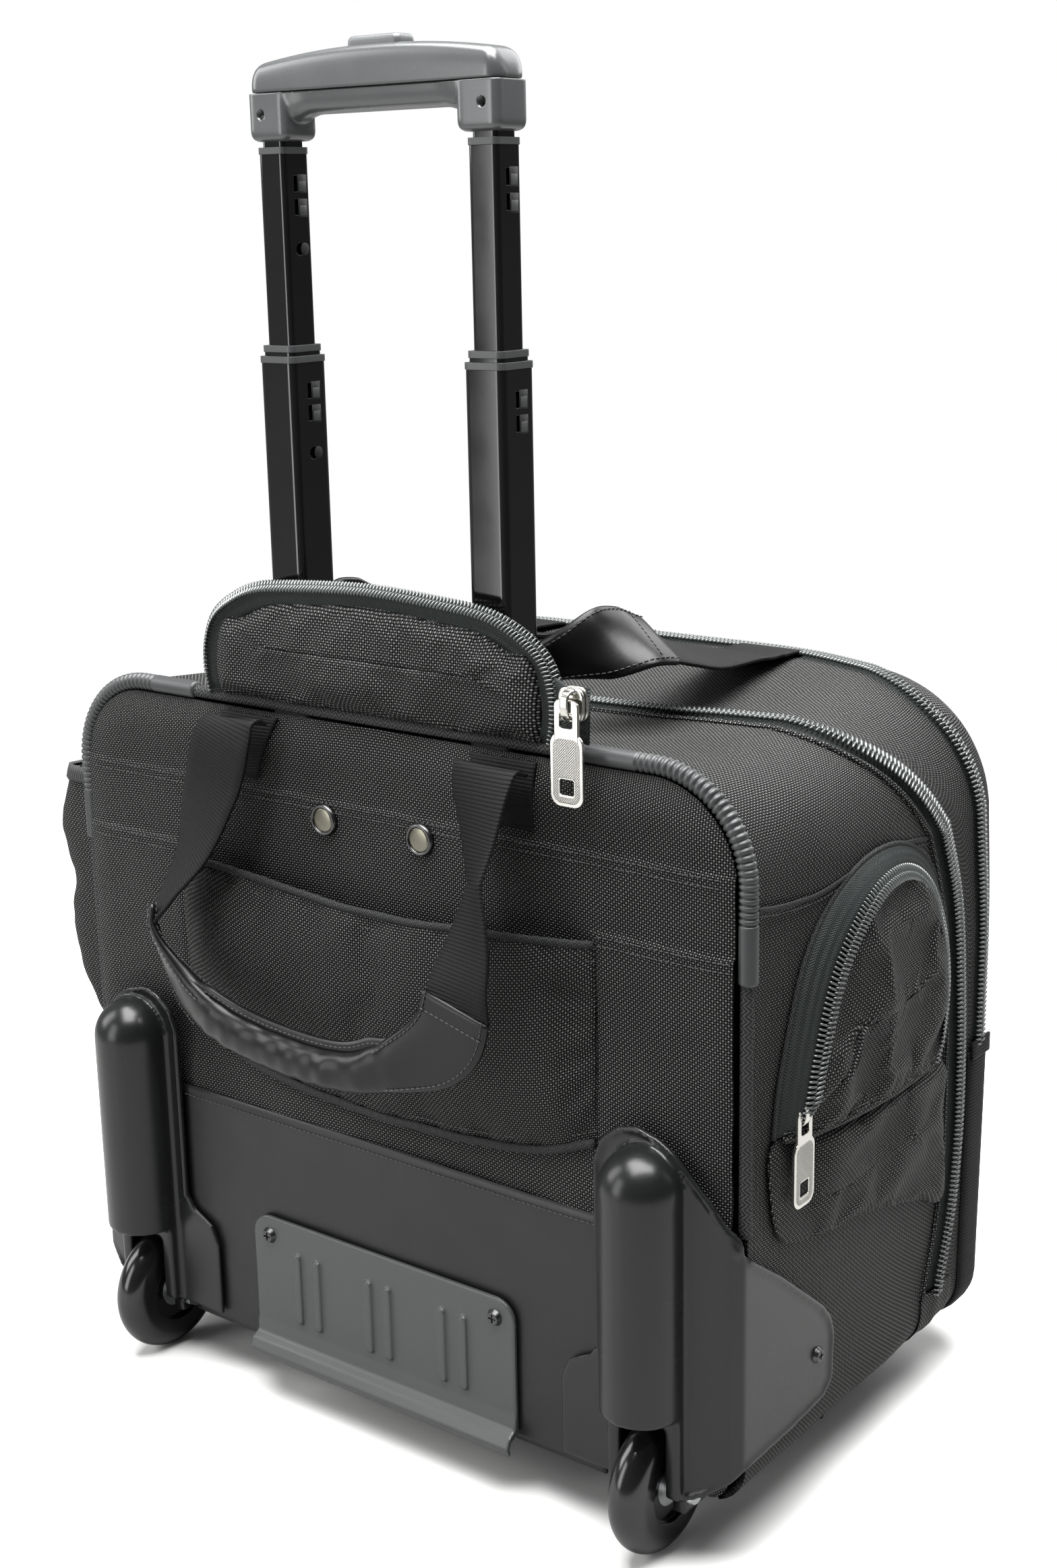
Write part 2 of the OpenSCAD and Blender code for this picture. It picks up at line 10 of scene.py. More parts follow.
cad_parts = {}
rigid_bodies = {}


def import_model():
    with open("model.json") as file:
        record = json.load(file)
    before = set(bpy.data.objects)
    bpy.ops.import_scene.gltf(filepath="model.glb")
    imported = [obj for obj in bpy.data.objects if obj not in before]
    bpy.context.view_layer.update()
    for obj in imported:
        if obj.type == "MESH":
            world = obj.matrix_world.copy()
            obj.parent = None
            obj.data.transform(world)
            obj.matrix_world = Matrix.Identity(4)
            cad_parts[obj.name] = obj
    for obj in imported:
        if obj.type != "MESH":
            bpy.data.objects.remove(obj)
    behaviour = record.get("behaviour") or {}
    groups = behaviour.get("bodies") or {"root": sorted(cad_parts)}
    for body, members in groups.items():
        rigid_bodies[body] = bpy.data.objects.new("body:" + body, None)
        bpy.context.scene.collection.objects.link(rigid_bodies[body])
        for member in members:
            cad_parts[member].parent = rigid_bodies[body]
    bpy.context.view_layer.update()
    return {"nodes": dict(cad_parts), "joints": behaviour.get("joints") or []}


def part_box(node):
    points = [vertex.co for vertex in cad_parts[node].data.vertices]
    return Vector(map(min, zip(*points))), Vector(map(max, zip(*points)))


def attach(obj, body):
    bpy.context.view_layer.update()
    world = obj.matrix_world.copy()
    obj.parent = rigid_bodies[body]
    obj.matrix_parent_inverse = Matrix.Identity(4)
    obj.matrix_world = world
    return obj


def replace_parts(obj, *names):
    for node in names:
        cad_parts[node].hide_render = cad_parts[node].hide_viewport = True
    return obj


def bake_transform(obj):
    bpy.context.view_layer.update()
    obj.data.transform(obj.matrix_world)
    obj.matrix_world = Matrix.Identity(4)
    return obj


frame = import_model()

# ---------- frame and units: shapes are in mm as (x, depth, z), with depth 0 at the vinyl panel ----------

MM = 0.001
DIVIDER_DEPTH = 96.0
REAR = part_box("padded_divider")[0].y / MM - DIVIDER_DEPTH


def to_row(points):
    """Points in (x, depth, z) mm as the frame's metres."""
    return (np.array(points, float).reshape(-1, 3) + [0, REAR, 0]) * MM


def row_point(x, depth, z):
    return tuple(to_row([(x, depth, z)])[0])


def cad(node):
    """A CAD node's lowest and highest corner in (x, depth, z) mm."""
    return tuple(np.array(corner) / MM - [0, REAR, 0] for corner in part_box(node))


CASE_LOW, CASE_HIGH = cad("main_gusset")
HALF_W = CASE_HIGH[0]
BOTTOM, TOP = CASE_LOW[2], CASE_HIGH[2]
FRONT = cad("front_lower_panel")[1][1]
PIPING_DEPTH = (cad("rear_piping")[0][1] + cad("rear_piping")[1][1]) / 2
HINGE_Z = cad("front_flap")[0][2]
LEG_X = 65.4
R_TOP, R_TOP_FRONT, R_BOTTOM = 50.0, 68.0, 24.0
SIDES = ((1, "right"), (-1, "left"))


def smooth(t):
    t = np.clip(t, 0, 1)
    return t * t * (3 - 2 * t)


def bump(x, centre, width):
    return np.exp(-((np.asarray(x, float) - centre) / width) ** 2)


def squared(wave, power):
    """A sine or cosine raised to a power with its sign kept, which turns a circle into a rounded square."""
    return np.sign(wave) * np.abs(wave) ** power


def ripple(a, b, seed, size=60.0):
    """Smooth seeded unevenness, about -1 to 1, over two lengths in mm."""
    rng = np.random.default_rng(seed)
    parts = 6
    total = np.zeros(np.broadcast(a, b).shape)
    for _ in range(parts):
        angle, phase = rng.uniform(0, 2 * math.pi, 2)
        wave = 2 * math.pi / (size * rng.uniform(0.6, 1.6))
        total = total + np.sin(wave * (np.cos(angle) * a + np.sin(angle) * b) + phase)
    return total / parts * 1.6


def unit(v):
    return v / np.maximum(np.linalg.norm(v, axis=-1, keepdims=True), 1e-9)


def tangents(path):
    return unit(np.gradient(path, axis=0))


def lengths(path):
    """How far along a path each of its points is."""
    return np.concatenate([[0], np.cumsum(np.linalg.norm(np.diff(path, axis=0), axis=1))])


def resampled(path, along, at):
    return np.stack([np.interp(at, along, path[:, k]) for k in range(path.shape[1])], 1)


def through(points, count, closed=False):
    """A smooth curve through the points, as count points evenly spaced along it."""
    p = np.array(points, float)
    ends = (p[-1:], p[:2]) if closed else (2 * p[:1] - p[1:2], 2 * p[-1:] - p[-2:-1])
    p = np.vstack([ends[0], p, ends[1]])
    t = np.linspace(0, 1, 24, endpoint=False)[:, None]
    fine = [b + ((c - a) * t + (2 * a - 5 * b + 4 * c - d) * t ** 2 + (3 * b - a - 3 * c + d) * t ** 3) / 2
            for a, b, c, d in zip(p, p[1:], p[2:], p[3:])]
    fine = np.vstack(fine + [p[-2:-1]])
    along = lengths(fine)
    return resampled(fine, along, np.linspace(0, along[-1], count, endpoint=not closed))


def even(step, path, *directions):
    """A path and matching direction lists, at even steps along the path."""
    along = lengths(path)
    at = np.linspace(0, along[-1], max(3, int(round(along[-1] / step)) + 1))
    return (resampled(path, along, at), *(unit(resampled(d, along, at)) for d in directions))


# ---------- meshes ----------

@contextmanager
def editing(o):
    """The object's mesh as a bmesh, written back at the end."""
    bm = bmesh.new()
    bm.from_mesh(o.data)
    yield bm
    bm.to_mesh(o.data)
    bm.free()


def weld(o, mm, close=False, outward=False):
    """Joins points that touch; close fills the holes and outward turns the faces out."""
    with editing(o) as bm:
        bmesh.ops.remove_doubles(bm, verts=bm.verts, dist=mm * MM)
        if close:
            bmesh.ops.holes_fill(bm, edges=[e for e in bm.edges if e.is_boundary])
        if outward:
            bmesh.ops.recalc_face_normals(bm, faces=bm.faces)
    return o


def remove_faces(o, unwanted):
    with editing(o) as bm:
        bmesh.ops.delete(bm, geom=[f for f in bm.faces if unwanted(f)], context="FACES")


def linked(name, data):
    o = bpy.data.objects.new(name, data)
    bpy.context.scene.collection.objects.link(o)
    return o


def smooth_shaded(o, on=True):
    o.data.polygons.foreach_set("use_smooth", [on] * len(o.data.polygons))
    return o


def new_piece(name, points, faces, uv=None):
    me = bpy.data.meshes.new(name)
    me.from_pydata(to_row(points).tolist(), [], faces)
    if uv is not None:
        layer = me.uv_layers.new(name="UVMap")
        index = np.zeros(len(me.loops), np.int32)
        me.loops.foreach_get("vertex_index", index)
        layer.data.foreach_set("uv", (np.reshape(uv, (-1, 2))[index] * MM).astype(np.float32).ravel())
    me.update()
    return smooth_shaded(linked(name, me))


def flipped(faces):
    return [f[::-1] for f in faces]


def grid_faces(rows, columns, wrap=False):
    i, j = np.meshgrid(np.arange(rows - 1), np.arange(columns if wrap else columns - 1), indexing="ij")
    j2 = (j + 1) % columns
    f = [i * columns + j, i * columns + j2, (i + 1) * columns + j2, (i + 1) * columns + j]
    return np.stack(f, -1).reshape(-1, 4).tolist()


def tube_faces(rings, sides):
    """Faces of a tube of rings with closed ends."""
    ends = [list(range(sides))[::-1], [(rings - 1) * sides + k for k in range(sides)]]
    return flipped(grid_faces(rings, sides, True) + ends)


def grid(name, pts, flip=False):
    """A sheet through a (rows, columns, 3) array, with UVs in mm along its own lengths."""
    rows, columns = pts.shape[:2]
    u = np.pad(np.cumsum(np.linalg.norm(np.diff(pts, axis=1), axis=2), 1), ((0, 0), (1, 0)))
    v = np.pad(np.cumsum(np.linalg.norm(np.diff(pts, axis=0), axis=2), 0), ((1, 0), (0, 0)))
    u = u - u[:, columns // 2][:, None]
    faces = grid_faces(rows, columns)
    return new_piece(name, pts, flipped(faces) if flip else faces, np.stack([u, v], -1))


def joined(name, objects):
    """One piece made of several; the others go away."""
    for o in bpy.context.view_layer.objects:
        o.select_set(o in objects)
    bpy.context.view_layer.objects.active = objects[0]
    bpy.ops.object.join()
    objects[0].name = objects[0].data.name = name
    return objects[0]


def modifier(o, kind, **values):
    m = o.modifiers.new(kind.lower(), kind)
    for key, value in values.items():
        setattr(m, key, value)
    return m


def thick(o, mm, offset=-1.0):
    modifier(o, "SOLIDIFY", thickness=mm * MM, offset=offset, use_even_offset=False)
    return o


def evaluated(o):
    return o.evaluated_get(bpy.context.evaluated_depsgraph_get())


def apply_modifiers(o):
    me = bpy.data.meshes.new_from_object(evaluated(o))
    o.modifiers.clear()
    o.data = me
    return smooth_shaded(o)


def sweep(name, path, radius, sides=10, normal=(0, -1, 0), flat=1.0):
    """A round tube along a path; radius may change along it, and flat squeezes it along its normal."""
    path = np.asarray(path, float)
    t = tangents(path)
    side = unit(np.cross(t, normal))
    up = np.cross(side, t)
    r = np.broadcast_to(np.asarray(radius, float), (len(path),))[:, None, None]
    a = np.linspace(0, 2 * math.pi, sides, endpoint=False)[None, :, None]
    ring = path[:, None] + r * (np.cos(a) * side[:, None] + flat * np.sin(a) * up[:, None])
    around = a.ravel() * float(np.mean(radius))
    uv = np.stack(np.meshgrid(lengths(path), around, indexing="ij"), -1)
    return new_piece(name, ring, tube_faces(len(path), sides), uv)


def square_to(t, direction):
    """The part of a direction that is square to t, as unit vectors."""
    return unit(direction - (direction * t).sum(1, keepdims=True) * t)


def strap(name, path, across, width, thickness=1.6, edge=5):
    """A flat band along a path. across is the direction of its width at each point."""
    path = np.asarray(path, float)
    t = tangents(path)
    w = square_to(t, np.broadcast_to(np.asarray(across, float), path.shape))
    up = np.cross(t, w)
    half = (np.broadcast_to(np.asarray(width, float), (len(path),)) / 2)[:, None]
    flat = np.linspace(-1, 1, edge)
    bulge = 1.015
    ring = [(f, 1.0) for f in flat] + [(bulge, 0.5), (bulge, -0.5)]
    ring = np.array(ring + [(f, -1.0) for f in flat[::-1]] + [(-bulge, -0.5), (-bulge, 0.5)])
    pts = path[:, None] + ring[:, :1] * (half * w)[:, None] + ring[:, 1:] * (thickness / 2 * up)[:, None]
    uv = np.stack(np.meshgrid(lengths(path), ring[:, 0] * float(np.mean(half)), indexing="ij"), -1)[..., ::-1]
    return new_piece(name, pts, tube_faces(len(path), len(ring)), uv)


def scatter(name, template, faces, places, axes):
    """Copies of a small mesh: places is (n, 3), axes is (n, 3, 3) with the template's x, y and z as rows."""
    pts = places[:, None] + np.einsum("kc,ncd->nkd", template, axes)
    step = len(template)
    return new_piece(name, pts, [[v + i * step for v in f] for i in range(len(places)) for f in faces])


def capsule(rx, ry, rz, rings=4, sides=6):
    """Vertices and faces of a rounded bar along x."""
    pts, faces = [(-rx, 0, 0)], []
    for i in range(1, rings):
        a = math.pi * i / rings
        fat = math.sin(a) ** 0.6
        for k in range(sides):
            b = 2 * math.pi * k / sides
            pts.append((-rx * math.cos(a), ry * fat * math.cos(b), rz * fat * math.sin(b)))
    pts.append((rx, 0, 0))
    last_ring, last = 1 + (rings - 2) * sides, len(pts) - 1
    for k in range(sides):
        k2 = (k + 1) % sides
        faces += [[0, 1 + k2, 1 + k], [last, last_ring + k, last_ring + k2]]
        for a in range(1, last_ring, sides):
            b = a + sides
            faces.append([a + k, a + k2, b + k2, b + k])
    return np.array(pts), faces


def stitches(name, path, outward):
    """A row of thread stitches along a path; outward is the surface's direction, for all or for each point."""
    pitch, size = 3.2, 0.34
    path = np.asarray(path, float)
    pts, up = even(pitch, path, np.broadcast_to(np.asarray(outward, float), path.shape))
    t = tangents(pts)
    side = unit(np.cross(up, t))
    shape, faces = capsule(pitch * 0.4, size, size, sides=5)
    return scatter(name, shape, faces, pts, np.stack([t, side, np.cross(t, side)], 1))


# ---------- materials ----------

def connect(socket, value):
    """Links a node's input to another node, or gives it a plain value; a colour gets its alpha."""
    if isinstance(value, Value):
        value = value.socket
    if isinstance(value, bpy.types.NodeSocket):
        socket.id_data.links.new(value, socket)
    elif value is not None:
        is_color = isinstance(value, tuple) and len(value) == 3
        socket.default_value = (*value, 1) if is_color else value


def new_node(tree, kind, *inputs, named=None, **settings):
    n = tree.nodes.new(kind)
    for key, value in settings.items():
        setattr(n, key, value)
    for key, value in [*enumerate(inputs), *(named or {}).items()]:
        connect(n.inputs[key], value)
    return n


def math_node(operation, swapped=False):
    """A method that adds a math node."""
    def method(self, *others):
        values = (*others, self) if swapped else (self, *others)
        return Value(new_node(self.socket.id_data, "ShaderNodeMath", *values, operation=operation).outputs[0])
    return method


class Value:
    """A number in a node tree; arithmetic on it adds math nodes."""

    def __init__(self, socket):
        self.socket = socket

    __add__, __radd__ = math_node("ADD"), math_node("ADD", swapped=True)
    __sub__, __rsub__ = math_node("SUBTRACT"), math_node("SUBTRACT", swapped=True)
    __mul__, __truediv__, __pow__ = math_node("MULTIPLY"), math_node("DIVIDE"), math_node("POWER")
    __abs__, sine, floor, root = math_node("ABSOLUTE"), math_node("SINE"), math_node("FLOOR"), math_node("SQRT")
    at_least, above, ping_pong = math_node("MAXIMUM"), math_node("GREATER_THAN"), math_node("PINGPONG")


def split(tree, vector):
    """A vector's three numbers."""
    return [Value(s) for s in new_node(tree, "ShaderNodeSeparateXYZ", vector).outputs]


def ridges(value, spacing_mm, turns=1):
    """Rounded ridges that are spacing_mm apart."""
    return (value * (turns * math.pi / (spacing_mm * MM))).sine()


class Finish:
    """A node material under construction: one Principled shader and small helpers."""

    def __init__(self, name, color, rough, spec=0.5):
        self.mat = bpy.data.materials.new(name)
        self.mat.use_nodes = True
        self.mat.diffuse_color = (*color, 1)
        self.tree = self.mat.node_tree
        self.tree.nodes.clear()
        self.bsdf = self.node("ShaderNodeBsdfPrincipled")
        self.out = self.node("ShaderNodeOutputMaterial", self.bsdf.outputs[0])
        self.set(base_color=color, roughness=rough, specular_ior_level=spec)

    def set(self, **values):
        """Sets inputs of the shader, such as base_color."""
        for key, value in values.items():
            connect(self.bsdf.inputs[key.replace("_", " ").title().replace("Ior", "IOR")], value)

    def node(self, kind, *inputs, **settings):
        return new_node(self.tree, kind, *inputs, **settings)

    def mix(self, share, a, b):
        n = self.node("ShaderNodeMix", data_type="RGBA")
        for k, value in ((0, share), (6, a), (7, b)):
            connect(n.inputs[k], value)
        return n.outputs[2]

    def coordinates(self, kind="Object"):
        return self.node("ShaderNodeTexCoord").outputs[kind]

    def sheet_uv(self):
        """u and v in metres along a sheet's own lengths."""
        return split(self.tree, self.coordinates("UV"))[:2]

    def boxed_uv(self):
        """u and v in metres, projected along the axis that the surface faces."""
        x, y, z = split(self.tree, self.coordinates())
        ax, ay, az = (abs(n) for n in split(self.tree, self.coordinates("Normal")))
        x_wins = ax.above(ay.at_least(az))
        z_wins = az.above(ax.at_least(ay))
        return x + x_wins * (y - x), z + z_wins * (y - z)

    def noise(self, scale, detail=3.0, rough=0.5):
        named = {"Scale": scale, "Detail": detail, "Roughness": rough}
        return Value(self.node("ShaderNodeTexNoise", self.coordinates(), named=named).outputs[0])

    def relief(self, height, distance_mm, strength=1.0, under=None):
        named = {"Strength": strength, "Distance": distance_mm * MM, "Height": height, "Normal": under}
        self.set(normal=self.node("ShaderNodeBump", named=named).outputs[0])

    def soft_edges(self, mm):
        return self.node("ShaderNodeBevel", named={"Radius": mm * MM}, samples=4).outputs[0] if mm else None


def weave_height(u, v, pitch_mm):
    """Plain weave of thick yarns: each yarn shows as a rounded float where it is on top."""
    a, b = u / (pitch_mm * MM), v / (pitch_mm * MM)
    turn_a, turn_b = (a + b.floor()) * math.pi, (b + a.floor()) * math.pi
    round_a, round_b = (abs((yarn * math.pi).sine()) ** 0.7 for yarn in (a, b))
    over = round_a * turn_b.sine().at_least(0.0)
    under = round_b * ((turn_a.sine() * -1.0).at_least(0.0) * 0.55)
    return over.at_least(under)


def nylon(name, boxed=False, pitch=1.3, light=(0.205, 0.21, 0.2), painted_gap_shade=(0.0012, 0.0013, 0.0013)):
    """Ballistic nylon: the tops of the yarns carry a painted highlight and the gaps between them a painted shade
    that is nearly black.
    """
    f = Finish(name, (0.02, 0.0205, 0.02), 0.5, 0.3)
    u, v = f.boxed_uv() if boxed else f.sheet_uv()
    wobble = (f.noise(60, 2) - 0.5) * 0.0011
    h = weave_height(u + wobble, v - wobble, pitch)
    # painted light: the weave's height mixes from the nearly black painted shade of the gaps to the painted
    # highlight of the yarn tops
    shade = h ** 2.7 * (0.7 + f.noise(14, 3) * 0.6)
    f.set(base_color=f.mix(shade, painted_gap_shade, light), roughness=0.62 - h * 0.22, specular_ior_level=h * 0.5)
    f.relief(h, 0.5)
    return f.mat


def ribbed(name, pitch=1.5, light=(0.011, 0.0112, 0.011), along_u=False):
    """Webbing or grosgrain: ribs across the band, with fine threads along it, and painted shade, nearly black, in
    the grooves between the ribs.
    """
    f = Finish(name, (0.015, 0.015, 0.0155), 0.6, 0.13)
    u, v = f.sheet_uv()[::-1 if along_u else 1]
    h = abs(ridges(v, pitch)) ** 0.6 * (0.7 + abs(ridges(u, 0.9)) * 0.3)
    # painted shade: the colour goes nearly black in the grooves between the ribs
    f.set(base_color=f.mix(h * (0.7 + f.noise(20) * 0.5), (0.0007, 0.0007, 0.0008), light))
    f.relief(h, 0.4, 0.9)
    return f.mat


def herringbone(name, pitch=1.5, light=(0.03, 0.036, 0.035), row=4.0):
    """Zip tape, binding and wrapped cord: short diagonal ribs that change direction from row to row, with painted
    shade in the grooves between them.
    """
    f = Finish(name, (0.01, 0.0105, 0.0105), 0.62, 0.22)
    u, v = f.sheet_uv()
    zigzag = (u / (row * MM)).ping_pong(0.5) * (row * MM)
    h = ridges(v + zigzag * 1.2, pitch, turns=2) * 0.5 + 0.5
    # painted shade: the colour goes nearly black in the grooves between the ribs
    f.set(base_color=f.mix(h * (0.6 + f.noise(25) * 0.6), (0.002, 0.0028, 0.0028), light))
    f.relief(h, 0.3, 0.8)
    return f.mat


def hide(name, color, rough, grain=420, depth=0.12, coat=0.0, spec=0.5):
    """Leather or vinyl: fine cells, slow waves and a little change in gloss."""
    f = Finish(name, color, rough, spec)
    cells = f.node("ShaderNodeTexVoronoi", f.coordinates(), named={"Scale": grain}, feature="SMOOTH_F1")
    h = Value(cells.outputs[0]) * 0.8 + (f.noise(grain * 1.7, 4) * 0.4 + f.noise(38, 2) * 1.5)
    f.set(base_color=f.mix(f.noise(30, 4) * 0.9, color, tuple(c * 1.7 for c in color)),
          roughness=(rough - 0.08) + f.noise(70, 3) * 0.18, coat_weight=coat, coat_roughness=0.25)
    f.relief(h, depth, 0.8)
    return f.mat


def moulded(name, color, rough, texture_mm=0.05, edge=0.0, scale=900, spec=0.5, scuffs=0.25):
    """Moulded plastic or rubber: fine spark texture, slow change in gloss, pale wear where it is rubbed."""
    f = Finish(name, color, rough, spec)
    slow = f.noise(24, 4)
    rub = f.noise(160, 5, 0.7).above(0.66) * scuffs
    lift = tuple(min(1, c * 1.5 + 0.01) for c in color)
    f.set(base_color=f.mix((slow * 0.5 + rub) * 0.6, color, lift), roughness=(rough - 0.06) + slow * 0.14)
    f.relief(f.noise(scale, 3), texture_mm, 0.7, f.soft_edges(edge))
    return f.mat


def metal(name, color, rough, edge=0.25, grain=700, knurl_mm=0.0):
    """Metal with uneven gloss and a fine grain, or crossed knurling."""
    f = Finish(name, color, rough)
    smear = f.noise(55, 4)
    f.set(metallic=1.0, roughness=(rough - 0.05) + smear * 0.14,
          base_color=f.mix(smear, tuple(c * 0.86 for c in color), color))
    if knurl_mm:
        x, y, z = split(f.tree, f.coordinates())
        knurl = abs(ridges(x + y + z, knurl_mm)) * abs(ridges(x + y - z, knurl_mm))
        f.relief(knurl, 0.45, 1.0, f.soft_edges(edge))
    else:
        f.relief(f.noise(grain, 2), 0.02, 0.5, f.soft_edges(edge))
    return f.mat


FINISH = {
    # nylon and lining: weave colours with a painted highlight on the yarn tops and painted shade in the gaps
    "nylon": nylon("ballistic_nylon_sheet"),
    "nylon_boxed": nylon("ballistic_nylon_boxed", boxed=True),
    "lining": nylon("lining", True, 0.7, (0.16, 0.165, 0.17), (0.03, 0.031, 0.033)),
    # grosgrain and webbing: painted shade in the grooves between their ribs
    "grosgrain": ribbed("grosgrain", 1.7, (0.07, 0.071, 0.07), along_u=True),
    "webbing": ribbed("webbing", 1.9),
    # zip tape, cord and binding: painted shade in the grooves between their ribs
    "tape": herringbone("zip_tape"),
    "cord": herringbone("wrapped_cord", 2.4, (0.06, 0.062, 0.06), row=5.0),
    "binding": herringbone("binding", 1.8, (0.04, 0.042, 0.04), row=5.5),
    "coil": moulded("zip_coil", (0.06, 0.067, 0.065), 0.2, 0.008, spec=1.0, scuffs=0.0),
    "thread": moulded("thread", (0.035, 0.036, 0.035), 0.6, 0.02),
    "vinyl": hide("vinyl", (0.007, 0.0074, 0.0072), 0.38, 620, 0.07, spec=0.35),
    "leather": hide("leather", (0.0022, 0.0023, 0.0023), 0.33, 420, 0.05, 0.05, spec=0.28),
    "rubber": moulded("guard_rubber", (0.028, 0.0295, 0.0305), 0.42, 0.03),
    "skid": moulded("skid_plastic", (0.044, 0.0465, 0.047), 0.38, 0.05),
    "housing": moulded("housing_plastic", (0.0062, 0.0066, 0.0067), 0.28, 0.018, scuffs=0.04, spec=0.38),
    "wheel": moulded("wheel_urethane", (0.004, 0.004, 0.0042), 0.16, 0.006, 0.8, spec=0.6, scuffs=0.05),
    "foot": moulded("foot_rubber", (0.02, 0.02, 0.02), 0.7, 0.08, 1.0),
    "inner": moulded("inner_plastic", (0.014, 0.014, 0.0145), 0.5, 0.05, 0.5),
    "board": moulded("inner_board", (0.02, 0.02, 0.021), 0.8, 0.1, 0.4, 500),
    "tube": moulded("tube_gloss", (0.0012, 0.0012, 0.0013), 0.07, 0.002, 0.45, spec=0.6, scuffs=0.0),
    # lock windows and the round hole: matt black painted shade for the openings
    "window": moulded("lock_window", (0.001, 0.001, 0.0011), 0.6, 0.01, scuffs=0.0),
    "collar": moulded("collar_plastic", (0.04, 0.042, 0.043), 0.4, 0.03, 0.4),
    "grip": moulded("grip_plastic", (0.055, 0.0575, 0.059), 0.26, 0.015, spec=0.7, scuffs=0.05),
    "button": moulded("button_plastic", (0.09, 0.094, 0.096), 0.32, 0.02),
    "steel": metal("axle_steel", (0.55, 0.56, 0.57), 0.3),
    "sleeve": metal("sleeve_metal", (0.3, 0.31, 0.32), 0.4, 0.4, 1400),
    "nickel": metal("zip_nickel", (0.62, 0.61, 0.57), 0.2),
    "knurled": metal("zip_nickel_knurled", (0.46, 0.45, 0.42), 0.3, knurl_mm=1.25),
    "snap": metal("snap_metal", (0.19, 0.182, 0.145), 0.28, 0.0),
    "snap_ring": metal("snap_ring", (0.1, 0.1, 0.1), 0.28, 0.0),
    "screw": metal("screw_black", (0.09, 0.09, 0.092), 0.3, 0.3),
}


def wear(o, finish):
    o.data.materials.clear()
    o.data.materials.append(FINISH[finish])
    return o


def add(o, body, finish, slot, *nodes):
    """A finished piece: its material, the body it rides on and the CAD nodes it stands for; slot is not used.

    body is a name, or (body, body, start, end), for which the piece is only baked where it is built and rides on no
    body."""
    wear(o, finish)
    if isinstance(body, str):
        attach(o, body)
    else:
        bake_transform(o)
    if nodes:
        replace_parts(o, *nodes)
    return o


def sew(name, path, outward, body="case", slot="ballistic_nylon"):
    return add(stitches(name, path, outward), body, "thread", slot)


def bind(name, path, radius, sides=8, **options):
    """A rolled edge or binding on the case."""
    return add(sweep(name, path, radius, sides, **options), "case", "binding", "piping")


# ---------- the case's outline and its two zip lines ----------

# tau is the position round one half of the outline: 0 at the bottom's middle, 1 to 2 along the bottom corner,
# 2 to 3 up the side, 3 to 4 along the top corner and 5 at the top's middle
SIDE_FOOT = BOTTOM + R_BOTTOM
TAU_MM = 75.0


def half_outline(tau, depth, inset=0.0):
    """x, z and outward direction (nx, nz) of the case's right half at each tau and depth."""
    tau, depth, inset = np.broadcast_arrays(np.asarray(tau, float), depth, inset)
    w, z0, z1 = HALF_W - inset, BOTTOM + inset, TOP - inset
    top_radius = R_TOP + (R_TOP_FRONT - R_TOP) * smooth((depth - 40) / 190)
    rt = np.maximum(top_radius - inset, 2.0)
    rb = np.maximum(R_BOTTOM - inset, 2.0)
    a = np.clip(tau - 1, 0, 1) * math.pi / 2
    b = np.clip(tau - 3, 0, 1) * math.pi / 2
    none, whole = 0 * tau, 1 + 0 * tau
    stretch = [tau < 1, tau < 2, tau < 3, tau < 4]
    x = np.select(stretch, [tau * (w - rb), w - rb + rb * np.sin(a), w, w - rt + rt * np.cos(b)],
                  (5 - tau) * (w - rt))
    side_z = z0 + rb + (tau - 2) * (z1 - rt - z0 - rb)
    z = np.select(stretch, [z0, z0 + rb - rb * np.cos(a), side_z, z1 - rt + rt * np.sin(b)], z1)
    nx = np.select(stretch, [none, np.sin(a), whole, np.cos(b)], none)
    nz = np.select(stretch, [-whole, -np.cos(a), none, np.sin(b)], whole)
    return x, z, nx, nz


def side_tau(z):
    """The tau of a height on the side, measured with the rear outline."""
    return 2 + (np.asarray(z, float) - SIDE_FOOT) / (TOP - R_TOP - SIDE_FOOT)


# (tau, depth) along each zip
ZIP_MAIN = [(2.02, 213), (side_tau(105), 228), (side_tau(158), 234), (side_tau(218), 232), (side_tau(277), 226),
            (side_tau(312), 218), (3.0, 201), (3.12, 190), (3.28, 175), (3.53, 151), (3.75, 141), (4.0, 138),
            (4.17, 135), (4.4, 128), (5.0, 124)]
ZIP_FRONT = [(2.0, 253), (side_tau(204), 256), (side_tau(278), 256), (side_tau(307), 252), (3.0, 247), (3.3, 240),
             (3.6, 236), (3.85, 241), (4.05, 251), (4.25, 260), (4.45, 264), (5.0, 266)]


def zip_depth(tau, line):
    """Depth of a zip line at each tau, with its corners rounded by a running average."""
    t, d = np.array(line).T
    fine_t = np.linspace(0, 5, 401)
    kernel = np.hanning(21)
    padded = np.pad(np.interp(fine_t, t, d), 10, mode="edge")
    return np.interp(tau, fine_t, np.convolve(padded, kernel / kernel.sum(), "valid"))


def taus(start=0.0, end=5.0):
    """Even steps of about 5 mm round half the outline."""
    t = np.unique(np.concatenate([np.linspace(k, k + 1, count) for k, count in enumerate((39, 9, 65, 23, 34))]))
    t = t[(t > start + 1e-6) & (t < end - 1e-6)]
    return np.concatenate([[start], t, [end]])


def both_ways(t, closed=False):
    """tau and side (+1 right, -1 left) from the first tau on the right to the same on the left."""
    back = t[::-1][1:-1] if closed else t[::-1][1:]
    return np.concatenate([t, back]), np.concatenate([np.ones(len(t)), -np.ones(len(back))])


def under_the_bottom(end, first):
    """tau and side under the bottom, from the end tau on the first side to the same on the other one."""
    t = taus(0.0, end)
    return np.concatenate([t[::-1], t[1:]]), first * np.concatenate([np.ones(len(t)), -np.ones(len(t) - 1)])


